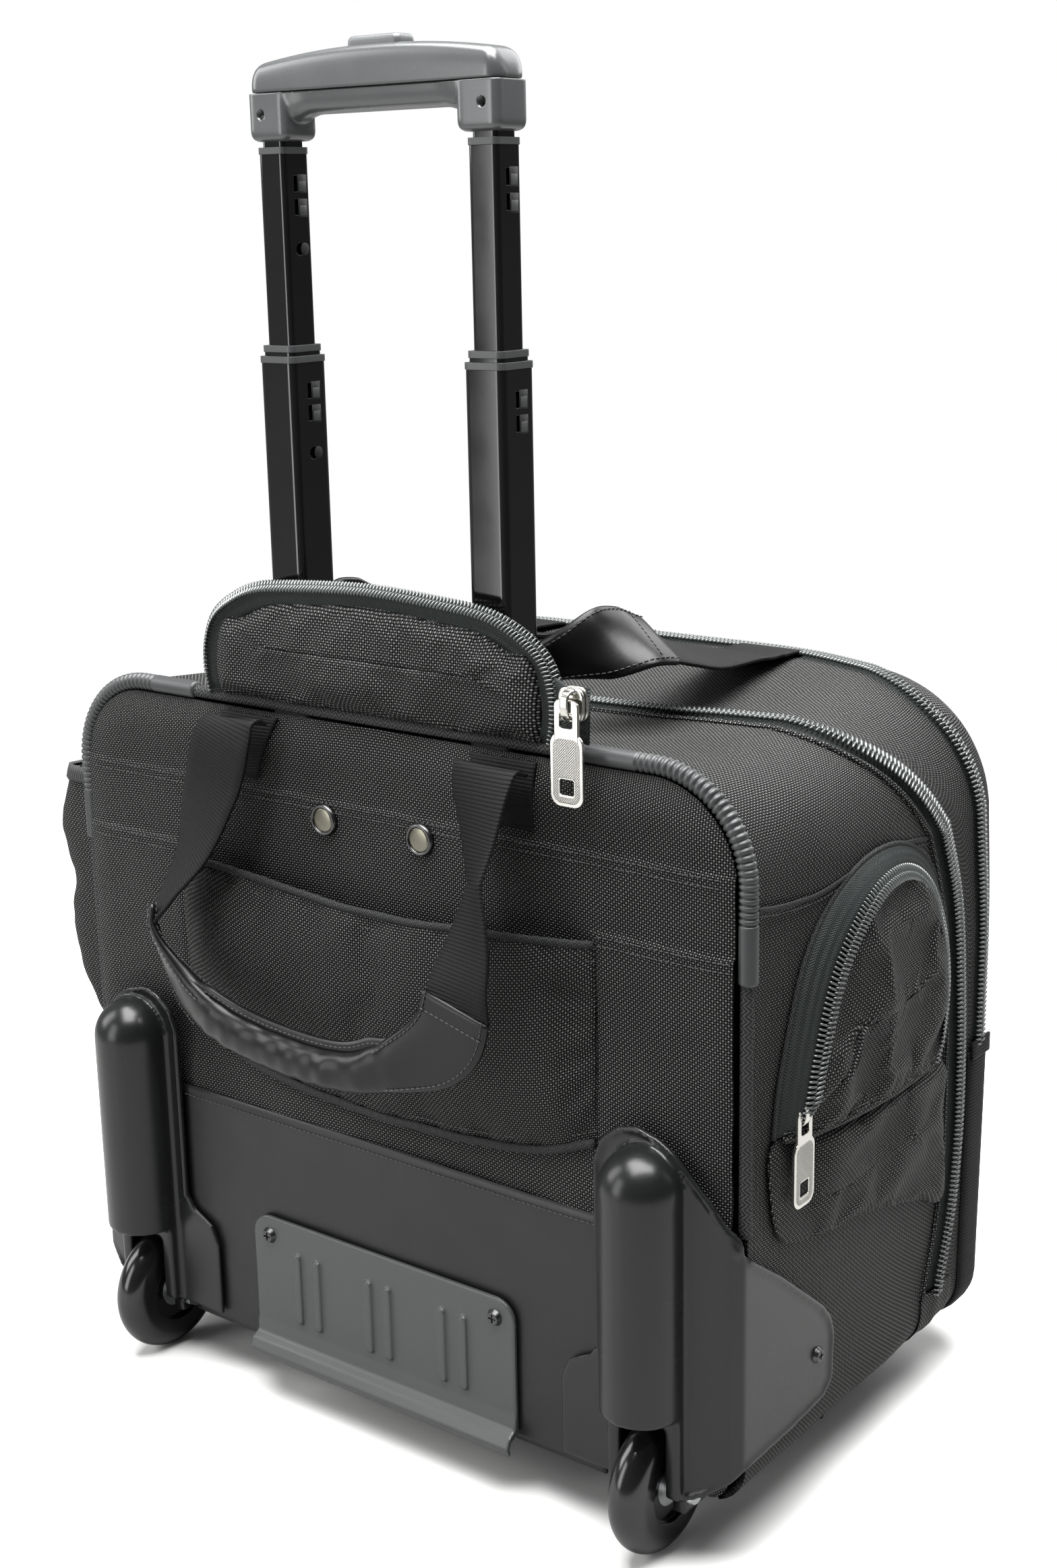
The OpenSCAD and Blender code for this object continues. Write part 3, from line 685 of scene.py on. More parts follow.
def shell_swell(tau, depth, side):
    """How far the fabric stands out of (or sags below) the plain outline, in mm."""
    top = smooth((tau - 3.2) / 0.7)
    middle = np.sin(np.clip((depth - 18) / 225, 0, 1) * math.pi)
    sag = -6.5 * top * middle
    flank = 1.6 * smooth((tau - 2.05) / 0.2) * (1 - smooth((tau - 2.9) / 0.4)) * middle
    rough = 0.9 * ripple(tau * TAU_MM, depth * (1 + 0.02 * side), 11, 90)
    return sag + flank + rough * smooth((depth - 18) / 14)


def shell_point(tau, depth, side, out=0.0):
    x, z, nx, nz = half_outline(tau, depth)
    swell = shell_swell(tau, depth, side) + out
    return np.stack(np.broadcast_arrays(side * (x + nx * swell), depth, z + nz * swell), -1)


# ---------- zips ----------

TOOTH, TOOTH_FACES = capsule(2.5, 0.62, 1.15, rings=5)


def coil_row(name, path, out, toward, phase=0.0, pitch=2.0, size=1.0):
    """One side's coil: rounded loops across the zip, each leaning a little along it."""
    pts, up, side = even(pitch * size, path, out, toward)
    t = tangents(pts)
    pts = pts + t * pitch * phase * size + side * 1.75 * size
    lean = unit(side + 0.16 * t)
    along = unit(np.cross(up, lean))
    return scatter(name, TOOTH * size, TOOTH_FACES, pts, np.stack([lean, along, np.cross(lean, along)], 1))


def zip_coils(names, bodies, path, out, toward, pitch, size):
    """Both rows of a zip's coil; toward points to the first row's side."""
    for name, body, way, phase in zip(names, bodies, (toward, -toward), (0.0, 0.5)):
        add(coil_row(name, path, out, way, phase, pitch, size), body, "coil", "ballistic_nylon")


def tape(name, body, path, out, toward, inner, outer, drop=0.0, lift=0.0):
    """A woven band beside the coil, from inner to outer mm away from the zip's middle."""
    pts, up, side = even(4.0, path, out, toward)
    share = np.linspace(0, 1, 5)[None, :, None]
    reach = inner + (outer - inner) * share
    band = pts[:, None] + side[:, None] * reach + up[:, None] * (lift - (drop + lift) * share ** 0.7)
    uv = np.stack(np.broadcast_arrays(reach[..., 0], lengths(pts)[:, None]), -1)
    faces = grid_faces(*band.shape[:2])
    inward = (np.cross(tangents(pts), side) * up).sum(1).mean() > 0
    piece = thick(new_piece(name, band, flipped(faces) if inward else faces, uv), 0.9)
    return add(piece, body, "tape", "ballistic_nylon")


def shell_path(line, start, offset=0.0, out=0.0):
    """A path on the shell following a zip line, with its outward and rearward directions."""
    tau, side = both_ways(taus(start))
    pts = shell_point(tau, zip_depth(tau, line) + offset, side, out)
    _, _, nx, nz = half_outline(tau, 0.0)
    normal = unit(np.stack([side * nx, 0.0 * nx, nz], -1))
    rear = unit(np.cross(tangents(pts), normal))
    return pts, normal, rear * np.where(rear[:, 1:2] > 0, -1, 1)


# ---------- the case's fabric ----------

GAP_REAR, GAP_FRONT = 15.0, 5.5
ZIP_FOOT = 2.02
MAIN_FOLD = ("case", "front_section", (0, 202, 30), (0, 230, 30))
FLAP_FOLD = ("front_section", "front_flap", (0, FRONT, HINGE_Z - 8), (0, FRONT, HINGE_Z + 8))


def past_foot(tau):
    """0 below the main zip's ends and 1 above them."""
    return smooth((tau - ZIP_FOOT + 0.04) / 0.06)


def gusset_grid(name, first_rows, end):
    """A sheet round the case, from its first rows of depths to the end depths in 30 steps."""
    tau, side = both_ways(taus())
    rows = [np.broadcast_to(np.asarray(d, float), tau.shape) for d in first_rows]
    rows += [rows[-1] + (end(tau) - rows[-1]) * v for v in np.linspace(0, 1, 31)[1:]]
    return grid(name, np.stack([shell_point(tau, d, side) for d in rows], 0), flip=True)


def middle(face):
    return (sum((v.co for v in face.verts), Vector()) / len(face.verts)) / MM - Vector((0, REAR, 0))


def in_well(x, depth, z):
    return 144.5 < abs(x) < 200 and depth < 54 and z < 92


def in_bezel(x, depth, z):
    return abs(x) < 91 and 18 < depth < 54 and z > 300


def rear_gusset():
    def end(tau):
        return zip_depth(tau, ZIP_MAIN) - GAP_REAR * past_foot(tau) - 3 * (1 - past_foot(tau))
    o = gusset_grid("rear_gusset_cloth", [16.5, 18, 21, 25, 30, 36, 42, 48, 54], end)
    remove_faces(o, lambda f: in_well(*middle(f)) or in_bezel(*middle(f)))
    add(thick(o, 3.0), "case", "nylon", "ballistic_nylon", "main_gusset")
    # seam across each side, above the side pocket
    seam = [(20, 334), (42, 330), (75, 327), (106, 329), (150, 331), (186, 327)]
    for side, name in SIDES:
        pts = through([(HALF_W, depth, z) for depth, z in seam], 60)
        pts[:, 0] = side * (HALF_W + 2.0)
        bind(f"side_seam_{name}", pts, 1.3, flat=0.5, normal=(1, 0, 0))
        sew(f"side_seam_stitches_{name}", pts - [0, 0, 3.2], (side, 0, 0))


def front_gusset():
    tau = both_ways(taus())[0]
    begin = zip_depth(tau, ZIP_MAIN) + 3 + GAP_FRONT * past_foot(tau)
    o = gusset_grid("front_gusset_cloth", [begin], lambda tau: zip_depth(tau, ZIP_FRONT) - 6.0)
    add(thick(o, 3.0), "front_section", "nylon", "ballistic_nylon", "front_gusset")
    # fabric across the line where the front section folds down
    tau, side = under_the_bottom(2.03, -1)
    rows = [shell_point(tau, d, side, 0.9 + 1.2 * bump(d, 215, 6)) for d in np.linspace(198, 234, 13)]
    add(thick(grid("fold_strip", np.stack(rows), flip=True), 1.6), MAIN_FOLD, "nylon", "ballistic_nylon")


def main_zip():
    pts, out, rear = shell_path(ZIP_MAIN, ZIP_FOOT, out=2.2)
    bodies = ("case", "front_section")
    zip_coils(("main_coil_rear", "main_coil_front"), bodies, pts + out * 0.3, out, rear, 2.2, 1.22)
    tape("main_tape_rear", "case", pts, out, rear, 0.1, GAP_REAR + 2.5, drop=5.0, lift=-1.5)
    tape("main_tape_front", "front_section", pts, out, -rear, 0.1, GAP_FRONT + 3, drop=2.6, lift=-1.5)
    # rolled edge of the fabric along the rear tape
    edge = shell_path(ZIP_MAIN, 2.03, -GAP_REAR - 0.5, 0.2)[0]
    roll = sweep("main_zip_fabric_edge", even(4, edge)[0], 1.9, 8)
    add(roll, "case", "nylon_boxed", "ballistic_nylon")
    seam, out = shell_path(ZIP_MAIN, 2.05, GAP_FRONT + 5.0, 0.25)[:2]
    sew("main_zip_stitches", seam, out, "front_section")


def front_zip():
    pts, out, rear = shell_path(ZIP_FRONT, side_tau(202), out=2.0)
    bodies = ("front_section", "front_flap")
    zip_coils(("front_coil_rear", "front_coil_front"), bodies, pts + out * 0.3, out, rear, 2.2, 1.22)
    for name, body, way in zip(("front_tape_rear", "front_tape_front"), bodies, (rear, -rear)):
        tape(name, body, pts, out, way, 0.1, 9.0, drop=3.0, lift=-1.5)
    # below the zip, round the bottom, its line goes on as a ribbed band
    tau, side = under_the_bottom(side_tau(199), 1)
    rows = [shell_point(tau, zip_depth(tau, ZIP_FRONT) + w, side, 1.0 - 1.6 * abs(w / 10) ** 4)
            for w in np.linspace(-10, 10, 9)]
    band = grid("ribbed_band", np.stack(rows).transpose(1, 0, 2))
    add(thick(band, 1.6), "front_section", "webbing", "webbing")
    for side, name in SIDES:
        place = shell_point(np.linspace(side_tau(194), side_tau(205), 5), 256.5, side, 2.2)
        add(strap(f"zip_end_tab_{name}", place, (0, 1, 0), 21), "front_section", "webbing", "webbing")


def pocket_face(name, keep_above, node, body):
    """Part of the pocket's front: rings from the zip line round the edge and in to the middle of the face."""
    tau, side = both_ways(taus(), closed=True)
    round_in, crown = 30.0, 3.0
    start = zip_depth(tau, ZIP_FRONT) + 5.5
    rings = [(round_in * (1 - math.cos(phi)), start + (FRONT - start) * math.sin(phi))
             for phi in np.linspace(0, math.pi / 2, 12)]
    rings += [(inset, FRONT) for inset in (*np.linspace(36, 150, 20), *np.linspace(156, 182.9, 5))]
    rows = []
    for inset, depth in rings:
        x, z, nx, nz = half_outline(tau, 275.0, inset)
        share = smooth((inset - 8) / 60)
        depth = depth + crown * share + 1.3 * share * ripple(side * x, z, 5, 110)
        swell = (1 - smooth(inset / 26)) * ripple(tau * TAU_MM, side * 30, 8, 80)
        rows.append(np.stack([side * (x + nx * swell), depth, z + nz * swell], -1))
    o = weld(new_piece(name, np.stack(rows), flipped(grid_faces(len(rows), len(tau), True))), 0.4)
    cut_z, up = (HINGE_Z + 0.6, -1) if keep_above else (HINGE_Z - 0.6, 1)
    with editing(o) as bm:
        bmesh.ops.bisect_plane(bm, geom=bm.verts[:] + bm.edges[:] + bm.faces[:], dist=1e-6,
                               plane_co=(0, 0, cut_z * MM), plane_no=(0, 0, up), clear_outer=True)
    add(thick(o, 3.0), body, "nylon_boxed", "ballistic_nylon", node)


def front_pocket():
    pocket_face("front_flap_cloth", True, "front_flap", "front_flap")
    pocket_face("front_lower_cloth", False, "front_lower_panel", "front_section")
    # fabric hinge along the fold
    x = np.linspace(-204, 204, 69)
    edge = smooth((HALF_W - 9 - np.abs(x)) / 20)
    depth = FRONT + 0.6 - 7 * (1 - edge) + 3.4 * smooth((HALF_W - 8 - np.abs(x)) / 60)
    rows = [np.stack([x, depth, z + 0 * x], -1) for z in np.linspace(HINGE_Z - 11, HINGE_Z + 11, 9)]
    hinge = thick(grid("flap_hinge_binding", np.stack(rows)), 1.4, 0.0)
    add(hinge, FLAP_FOLD, "grosgrain", "webbing")


def outline_half_width(z, inset):
    """Half the case's width at a height, measured at the rear."""
    w, z0, z1 = HALF_W - inset, BOTTOM + inset, TOP - inset
    rt, rb = R_TOP - inset, R_BOTTOM - inset
    up = np.clip((z - (z1 - rt)) / rt, 0, 1)
    down = np.clip(((z0 + rb) - z) / rb, 0, 1)
    return w - rt * (1 - np.sqrt(1 - up ** 2)) - rb * (1 - np.sqrt(1 - down ** 2))


def outline_inset(x, z):
    """How far a point of the rear face is inside the case's outline."""
    half_h, mid = (TOP - BOTTOM) / 2, (TOP + BOTTOM) / 2
    r = np.where(z > mid, R_TOP, R_BOTTOM)
    qx, qz = np.abs(x) - (HALF_W - r), np.abs(z - mid) - (half_h - r)
    return r - np.minimum(np.maximum(qx, qz), 0) - np.hypot(np.maximum(qx, 0), np.maximum(qz, 0))


BAND_Z, SIDE_HEM_Z = 351.0, 313.0
POCKET_HALF = 137.0


def rear_depth(x, z):
    """Depth of the rear face's fabric: rounded in to the piping, with a step at each hem."""
    z = z + 0 * x
    base = 9.2 - 4.4 * smooth((206 - z) / 34)
    e = np.clip(outline_inset(x, z) / 20, 0, 1)
    depth = PIPING_DEPTH + 0.5 - (PIPING_DEPTH + 0.5 - base) * np.sqrt(1 - (1 - e) ** 2)
    depth = depth - 1.0 * smooth((BAND_Z - z) / 1.2) * smooth((z - 180) / 20)
    sideways = smooth((np.abs(x) - POCKET_HALF + 1) / 3)
    depth = depth - 1.6 * sideways * smooth((SIDE_HEM_Z - z) / 1.4) * smooth((z - 190) / 20)
    depth = depth + 0.9 * ripple(x, z, 21, 120) * e + 0.35 * ripple(x, z, 22, 45) * e
    # the upper band swells between the piping and its hem
    return depth - 1.5 * np.exp(-((z - 375) / 14) ** 2) * e


def on_rear(x, z, lift=0.0):
    """Points on the rear face, lift mm in front of its fabric."""
    return np.stack([x, rear_depth(x, z) - lift, z + 0 * x], -1)


def rear_face():
    # rows and columns are closer together at the hems and near the outline
    z = np.unique([*np.linspace(BOTTOM + 4, TOP - 4.2, 96), *(BAND_Z + np.linspace(-1.4, 0.2, 4)),
                   *(SIDE_HEM_Z + np.linspace(-1.6, 0.2, 4)), *(TOP - 4 - np.array([0.02, 0.4, 1.2, 2.4]))])
    u = np.unique([*np.linspace(-1, 1, 115), -0.995, 0.995, -0.985, 0.985])
    o = grid("rear_face_cloth", on_rear(u[None, :] * outline_half_width(z, 4.0)[:, None], z[:, None]))
    remove_faces(o, lambda f: in_well(f.calc_center_median().x / MM, 0, f.calc_center_median().z / MM))
    add(thick(o, 2.4), "case", "nylon", "ballistic_nylon", "rear_panel")
    rows = [(np.linspace(-203, 203, 120), BAND_Z - drop) for drop in (2.4, 6.4)]
    rows += [(np.linspace(140, 209, 30) * side, SIDE_HEM_Z - drop) for side in (-1, 1) for drop in (2.6, 7)]
    rows = [stitches("s", on_rear(x, z, 0.2), (0, -1, 0)) for x, z in rows]
    add(joined("rear_face_stitches", rows), "case", "thread", "ballistic_nylon")


def vinyl_sheet():
    half, z0, z1 = 143.8, 31.0, cad("vinyl_panel")[1][2]
    z = np.concatenate([np.linspace(z0, z1 - 1.5, 40), [z1 - 0.6, z1]])
    x, z = np.meshgrid(np.linspace(-half, half, 75), z)
    depth = 2.4 + 0.5 * ripple(x, z, 31, 130) + 1.6 * smooth((z - z1 + 1.6) / 1.6)
    add(thick(grid("vinyl_sheet", np.stack([x, depth, z], -1)), 1.6), "case", "vinyl", "vinyl", "vinyl_panel")
    x, z = np.linspace(-141, 141, 90), z1 - 5.0
    seam = np.stack([x, 2.0 + 0.5 * ripple(x, z, 31, 130), z + 0 * x], 1)
    sew("vinyl_stitches", seam, (0, -1, 0), slot="vinyl")


def piping():
    def run(t0, t1, side, out=-0.2):
        t = np.linspace(t0, t1, max(8, int(abs(t1 - t0) * 60)))
        x, z, nx, nz = half_outline(t, PIPING_DEPTH)
        return np.stack([side * (x + nx * out), PIPING_DEPTH + 0 * t, z + nz * out], 1)
    foot, low = side_tau(176), 0.73
    over = np.vstack([run(foot, 5.0, 1), run(5.0, foot, -1)[1:]])
    under = np.vstack([run(low, 0.0, -1), run(0.0, low, 1)[1:]])
    cords = [sweep("c", even(3, over)[0], 3.3, 12), sweep("c", even(3, under)[0], 3.0, 10)]
    add(joined("piping_cord", cords), "case", "cord", "piping", "rear_piping")
    guards = []
    step, ring_pitch = 0.45, 3.2
    for side in (1, -1):
        path = even(step, run(side_tau(300), 5 - 126 / (HALF_W - R_TOP), side, 0.3))[0]
        ringed = smooth((path[:, 2] - 327) / 2) * smooth((np.abs(path[:, 0]) - 156) / 2)
        s = np.arange(len(path)) * step
        ring = np.abs(np.sin(math.pi * s / ring_pitch)) ** 0.6
        radius = 4.7 - ringed * 1.4 * (1 - ring) - 0.9 * (1 - smooth(np.minimum(s, s[-1] - s) / 1.2))
        guards.append(sweep("g", path, radius, 18))
    add(joined("corner_guards", guards), "case", "rubber", "guard_rubber", "corner_protectors")


# ---------- rear patch pocket and snaps ----------

def pocket_bottom(x):
    keys = [(-138, 214), (-110, 201), (-73, 192), (-20, 187.5), (21, 187), (70, 190), (107, 196), (137, 207)]
    return np.interp(x, *through(keys, 120).T)


def pocket_hem(x):
    return 306.5 - 7.5 * bump(x, 10, 80)


def on_pocket(x, z, lift=0.0):
    """Points on the swollen pocket, lift mm in front of its fabric."""
    low, high = pocket_bottom(x), pocket_hem(x)
    v = np.clip((z - low) / (high - low), 0, 1)
    across = 1 - np.abs(x / (POCKET_HALF + 1)) ** 7
    rise = np.sqrt(np.clip(v / 0.3, 0, 1)) * 0.5 + 0.5 * smooth(v / 0.6)
    swell = 13.0 * across * rise * (1 - 0.25 * v)
    wrinkle = 0.9 * ripple(x, z, 41, 70) * across * smooth(v * 4)
    return on_rear(x, z, 0.6 + swell - wrinkle + lift)


def patch_pocket():
    u = np.linspace(-1, 1, 93)
    v = np.concatenate([np.linspace(0, 0.12, 8), np.linspace(0.14, 1, 40)])[:, None]
    x = np.broadcast_to(POCKET_HALF * squared(u, 0.9), (len(v), len(u)))
    low = pocket_bottom(x)
    o = grid("patch_pocket_cloth", on_pocket(x, low + v * (pocket_hem(x) - low)))
    relax(o, 4.0, 0.012, 2.5, bend=5)
    add(thick(o, 2.0), "case", "nylon", "ballistic_nylon", "patch_pocket")
    x = np.linspace(-POCKET_HALF + 0.5, POCKET_HALF - 0.5, 120)
    low, high = pocket_bottom(x), pocket_hem(x)
    bind("pocket_hem_binding", on_pocket(x, high, -0.4), 2.1, 10, flat=0.8)
    sew("pocket_hem_stitches", on_pocket(x, high - 8, 0.2), (0, -1, 0))
    bind("pocket_lower_binding", on_rear(x, low, 1.6) - [0, 0, 1], 2.4, 10, flat=0.75)
    sew("pocket_lower_stitches", on_pocket(x, low + 5, 0.2), (0, -1, 0))


def lathe(name, profile, centre, axis=(0, -1, 0), count=40):
    """A turned part: profile is (radius, height along the axis), from its base round to its top."""
    axis = unit(np.array(axis, float))
    side = unit(np.cross(axis, (0, 0, 1)))
    other = np.cross(axis, side)
    spokes = [np.cos(t) * side + np.sin(t) * other for t in np.linspace(0, 2 * math.pi, count, endpoint=False)]
    pts = [np.array(centre) + h * axis + r * spoke for r, h in profile for spoke in spokes]
    return weld(new_piece(name, pts, flipped(grid_faces(len(profile), count, True))), 0.01, outward=True)


def snaps():
    low, high = cad("snaps")
    x, z = high[0] - 8.5, (low[2] + high[2]) / 2
    places = [(side * x, float(rear_depth(np.array(side * x), np.array(z))), z) for side in (-1, 1)]
    ring = through([(6.2, -1), (8.3, -0.8), (8.5, 0.8), (7.9, 2.1), (7.1, 2.5), (6.4, 2.1), (6.2, 1.0)], 22)
    cap = [(6.5, 0), (6.5, 1.2), (6.1, 1.75), (5.2, 1.95), (3.5, 2.1), (1.5, 2.2), (0, 2.2)]
    add(joined("snap_rings", [lathe("s", ring, p) for p in places]), "case", "snap_ring", "snap_metal")
    add(joined("snap_caps", [lathe("s", cap, p) for p in places]), "case", "snap", "snap_metal", "snaps")


# ---------- hardware softened from its CAD shape ----------

def melt(o, voxel, passes):
    """Joins touching shapes into one skin and rounds its edges, as moulding does."""
    modifier(o, "REMESH", mode="VOXEL", voxel_size=voxel * MM, use_smooth_shade=True)
    modifier(o, "SMOOTH", iterations=passes, factor=0.5)
    return apply_modifiers(o)


def moulded_part(node, name, body, finish, voxel, passes, extra=()):
    """A CAD node's shape with its edges rounded, together with any extra pieces."""
    o = linked(name, frame["nodes"][node].data.copy())
    o.data.materials.clear()
    weld(o, 0.005)
    if extra:
        o = joined(name, [o, *extra])
    return add(melt(o, voxel, passes), body, finish, finish + "_plastic", node)


# The rolled lip round each wheel housing, on the right side
HOUSING_LIP = [(142.6, -2.0, 103), (142.6, -2.0, 203), (146.6, -2.0, 213.6), (155.5, -2.0, 221), (165, -2.0, 223.8),
               (178, -2.0, 220.4), (186, -2.0, 215.6), (204, 0.4, 195.6), (216, 5.5, 172), (218.8, 14, 164),
               (218.8, 41, 144.4), (218.8, 82, 110.8), (218.8, 90, 101), (218.8, 93, 92), (218.8, 92, 67),
               (218.8, 84.5, 61), (218.8, 57, 59), (218.6, 12, 58), (214, 4.5, 52), (203, 0, 43.6), (195, -2, 39.4),
               (188, -2, 37)]


def moulded_hardware():
    for side, name in SIDES:
        lip = sweep("lip", even(2.5, np.array(HOUSING_LIP) * [side, 1, 1])[0], 1.7, 8)
        moulded_part(f"wheel_housing_{name}", f"housing_{name}", "case", "housing", 1.15, 9, [lip])
    moulded_part("skid_plate", "skid_plate_moulded", "case", "skid", 0.8, 3)
    moulded_part("button_cap", "button_moulded", "release_button", "button", 0.6, 5)


def rounded_box(low, high, r, segments=4):
    """A box between two corners in mm with rounded edges."""
    low, high = np.array(low, float), np.array(high, float)
    corners = np.array([(x, y, z) for x in (0, 1) for y in (0, 1) for z in (0, 1)], float)
    faces = [(0, 1, 3, 2), (4, 6, 7, 5), (0, 4, 5, 1), (2, 3, 7, 6), (0, 2, 6, 4), (1, 5, 7, 3)]
    o = new_piece("box", low + corners * (high - low), faces)
    modifier(o, "BEVEL", width=r * MM, segments=segments, limit_method="NONE")
    return apply_modifiers(o)


def drill(o, cutters):
    for cutter in cutters:
        modifier(o, "BOOLEAN", object=cutter, operation="DIFFERENCE", solver="EXACT")
        apply_modifiers(o)
        bpy.data.objects.remove(cutter)


def grip():
    (_, back, low), (half_l, front, _) = cad("grip_lower")
    seam, top = cad("grip_upper")[0][2], cad("grip_upper")[1][2]
    mid, half_d = (back + front) / 2, (front - back) / 2
    # lower shell: a rounded block on each leg and a thinner, rounder bar between them
    leg_x, leg_reach = 68.0, 52.0
    blocks = [rounded_box((x0, back, low), (x1, front, seam + 8), 4.0)
              for x0, x1 in ((-half_l, -leg_reach), (leg_reach, half_l))]
    a = np.linspace(0, 2 * math.pi, 40, endpoint=False)
    rows = []
    for x in np.linspace(-66, 66, 45):
        near = smooth((abs(x) - 40) / 14)
        wide, deep = half_d - 1.6 + 0.8 * near, 12.4 + 3.0 * near
        rows.append(np.stack([x + 0 * a, mid + wide * squared(np.cos(a), 0.8),
                              seam + 1.5 + deep * squared(np.sin(a), 0.85)], 1))
    bar = weld(new_piece("bar", np.stack(rows), tube_faces(len(rows), len(a))), 0, outward=True)
    lower = melt(joined("grip_lower_moulded", [*blocks, bar]), 0.95, 9)
    drill(lower, [rounded_box((-120, mid - 40, seam - 0.25), (120, mid + 40, seam + 60), 0.1, 1)])
    hole = [(0, -6), (2.5, -6), (2.5, 2.2), (3.3, 2.2), (3.3, 8), (0, 8)]
    drill(lower, [lathe("c", hole, (s * leg_x, back + 1.2, low + 12.5), count=28) for s in (-1, 1)])
    add(lower, "trolley_grip", "grip", "grip_plastic", "grip_lower")
    # upper shell: arched along its length and rounded over its top edges
    a = np.linspace(0, math.pi, 25)
    rows = []
    for x in half_l * np.sin(np.linspace(-math.pi / 2, math.pi / 2, 61)):
        past = abs(x) - half_l
        arch = (top - seam) * (1 - 0.33 * (abs(x) / half_l) ** 2.2)
        arch = arch * max(1e-3, 1 - max(0.0, (past + 9) / 9) ** 2) ** 0.5
        deep = half_d * max(1e-3, 1 - max(0.0, (past + 7) / 7) ** 2.4) ** 0.42
        over = seam + 0.25 + arch * np.sin(a) ** 0.62
        rows.append(np.stack([x + 0 * a, mid + deep * squared(np.cos(a), 0.42), over], 1))
    upper = new_piece("grip_upper_moulded", np.stack(rows), grid_faces(len(rows), len(a), True))
    melt(weld(upper, 0.02, close=True, outward=True), 0.8, 3)
    add(upper, "trolley_grip", "grip", "grip_plastic", "grip_upper")


def tube_locks():
    """The lock windows on each leg's outer side as flat matt black patches of painted shade, with the lock blocks
    showing in them, and a round hole as a thin black disc of painted shade.
    """
    hole = [(0, 0), (2.9, 0), (3.0, 0.1), (2.9, 0.15), (0, 0.15)]
    for node, body in (("tubes_a", "trolley_stage_a"), ("tubes_c", "trolley_stage_c")):
        low, high = cad(node)
        mid = (low[1] + high[1]) / 2
        opening_shade_patches, blocks = [], []
        for side in (-1, 1):
            x = side * LEG_X + high[0] - LEG_X
            for drop in (14.0, 25.5):
                back, z = x - 0.4, high[2] - drop
                # a thin matt black box of painted shade where the window opening is
                opening_shade_patches.append(rounded_box((back, mid + 0.2, z - 4.4), (x + 0.06, mid + 6.6, z + 4.4), 0.05, 1))
                blocks.append(rounded_box((back, mid + 1.0, z - 3.6), (x + 0.12, mid + 5.8, z + 1.2), 0.1, 2))
            if side < 0:
                # a thin black disc of painted shade for the round hole
                opening_shade_patches.append(lathe("h", hole, (x, mid + 3.4, high[2] - 45), axis=(1, 0, 0), count=28))
        add(joined(f"lock_windows_{node[-1]}", opening_shade_patches), body, "window", "inner_plastic")
        add(joined(f"lock_blocks_{node[-1]}", blocks), body, "collar", "collar_plastic")


# Finishes of the CAD nodes that are shown as they are
PLAIN_NODES = {
    "screw": "skid_screws housing_screws grip_screws",
    "steel": "axle_bolts axle_nuts axle_spacers wheel_bearings_left wheel_bearings_right",
    "wheel": "wheel_tyre_left wheel_tyre_right",
    "foot": "rear_feet",
    "sleeve": "trolley_sleeves",
    "tube": "tubes_a tubes_b tubes_c tubes_d",
    "collar": "collars_a collars_b collars_c",
    "inner": "trolley_base trolley_bezel glides_a glides_b glides_c glides_d release_bar",
    "board": "back_board bottom_board",
}


def dress_cad_nodes():
    for finish, nodes in PLAIN_NODES.items():
        for node in nodes.split():
            wear(frame["nodes"][node], finish)


# ---------- pillows: padded shapes inside a closed outline ----------

def pillow(name, loop, centre, height, lift, rings=16, flip=False):
    """Rings from a closed outline (n, 2) in to a middle line.

    height(share, away, a, b): share is 1 on the outline and 0 in the middle, away is mm from the outline."""
    loop = np.asarray(loop, float)
    share = 1 - np.linspace(0, 1, rings + 1) ** 1.6
    share = np.concatenate([[1.0, 0.995], share[1:]])[:, None, None]
    flat = centre(loop) + (loop - centre(loop)) * share
    away = np.sqrt(((flat[:, :, None] - loop) ** 2).sum(-1)).min(-1)
    a, b = flat[..., 0], flat[..., 1]
    h = height(np.broadcast_to(share[..., 0], a.shape), away, a, b)
    pts = np.stack(np.broadcast_arrays(*lift(a, b, h)), -1)
    faces = grid_faces(len(share), len(loop), True)
    return weld(new_piece(name, pts, flipped(faces) if flip else faces, flat), 0.02)


def centre_on(a_share, b_mid, a_mid=0.0):
    return lambda loop: np.stack([a_mid + (loop[:, 0] - a_mid) * a_share, np.full(len(loop), b_mid)], 1)


def swollen(away, height, reach):
    """Height of a rounded edge: it rises steeply and levels off within reach mm of the outline."""
    return height * np.sqrt(1 - (1 - np.clip(away / reach, 0, 1)) ** 2)


CLOTH_FRAMES = 20
CLOTH = {"quality": 6, "mass": 0.15, "tension_stiffness": 12, "compression_stiffness": 12, "shear_stiffness": 4,
         "air_damping": 2.5, "vertex_group_mass": "pins", "use_pressure": True}


def coordinates(mesh):
    co = np.empty(len(mesh.vertices) * 3)
    mesh.vertices.foreach_get("co", co)
    return co.reshape(-1, 3)


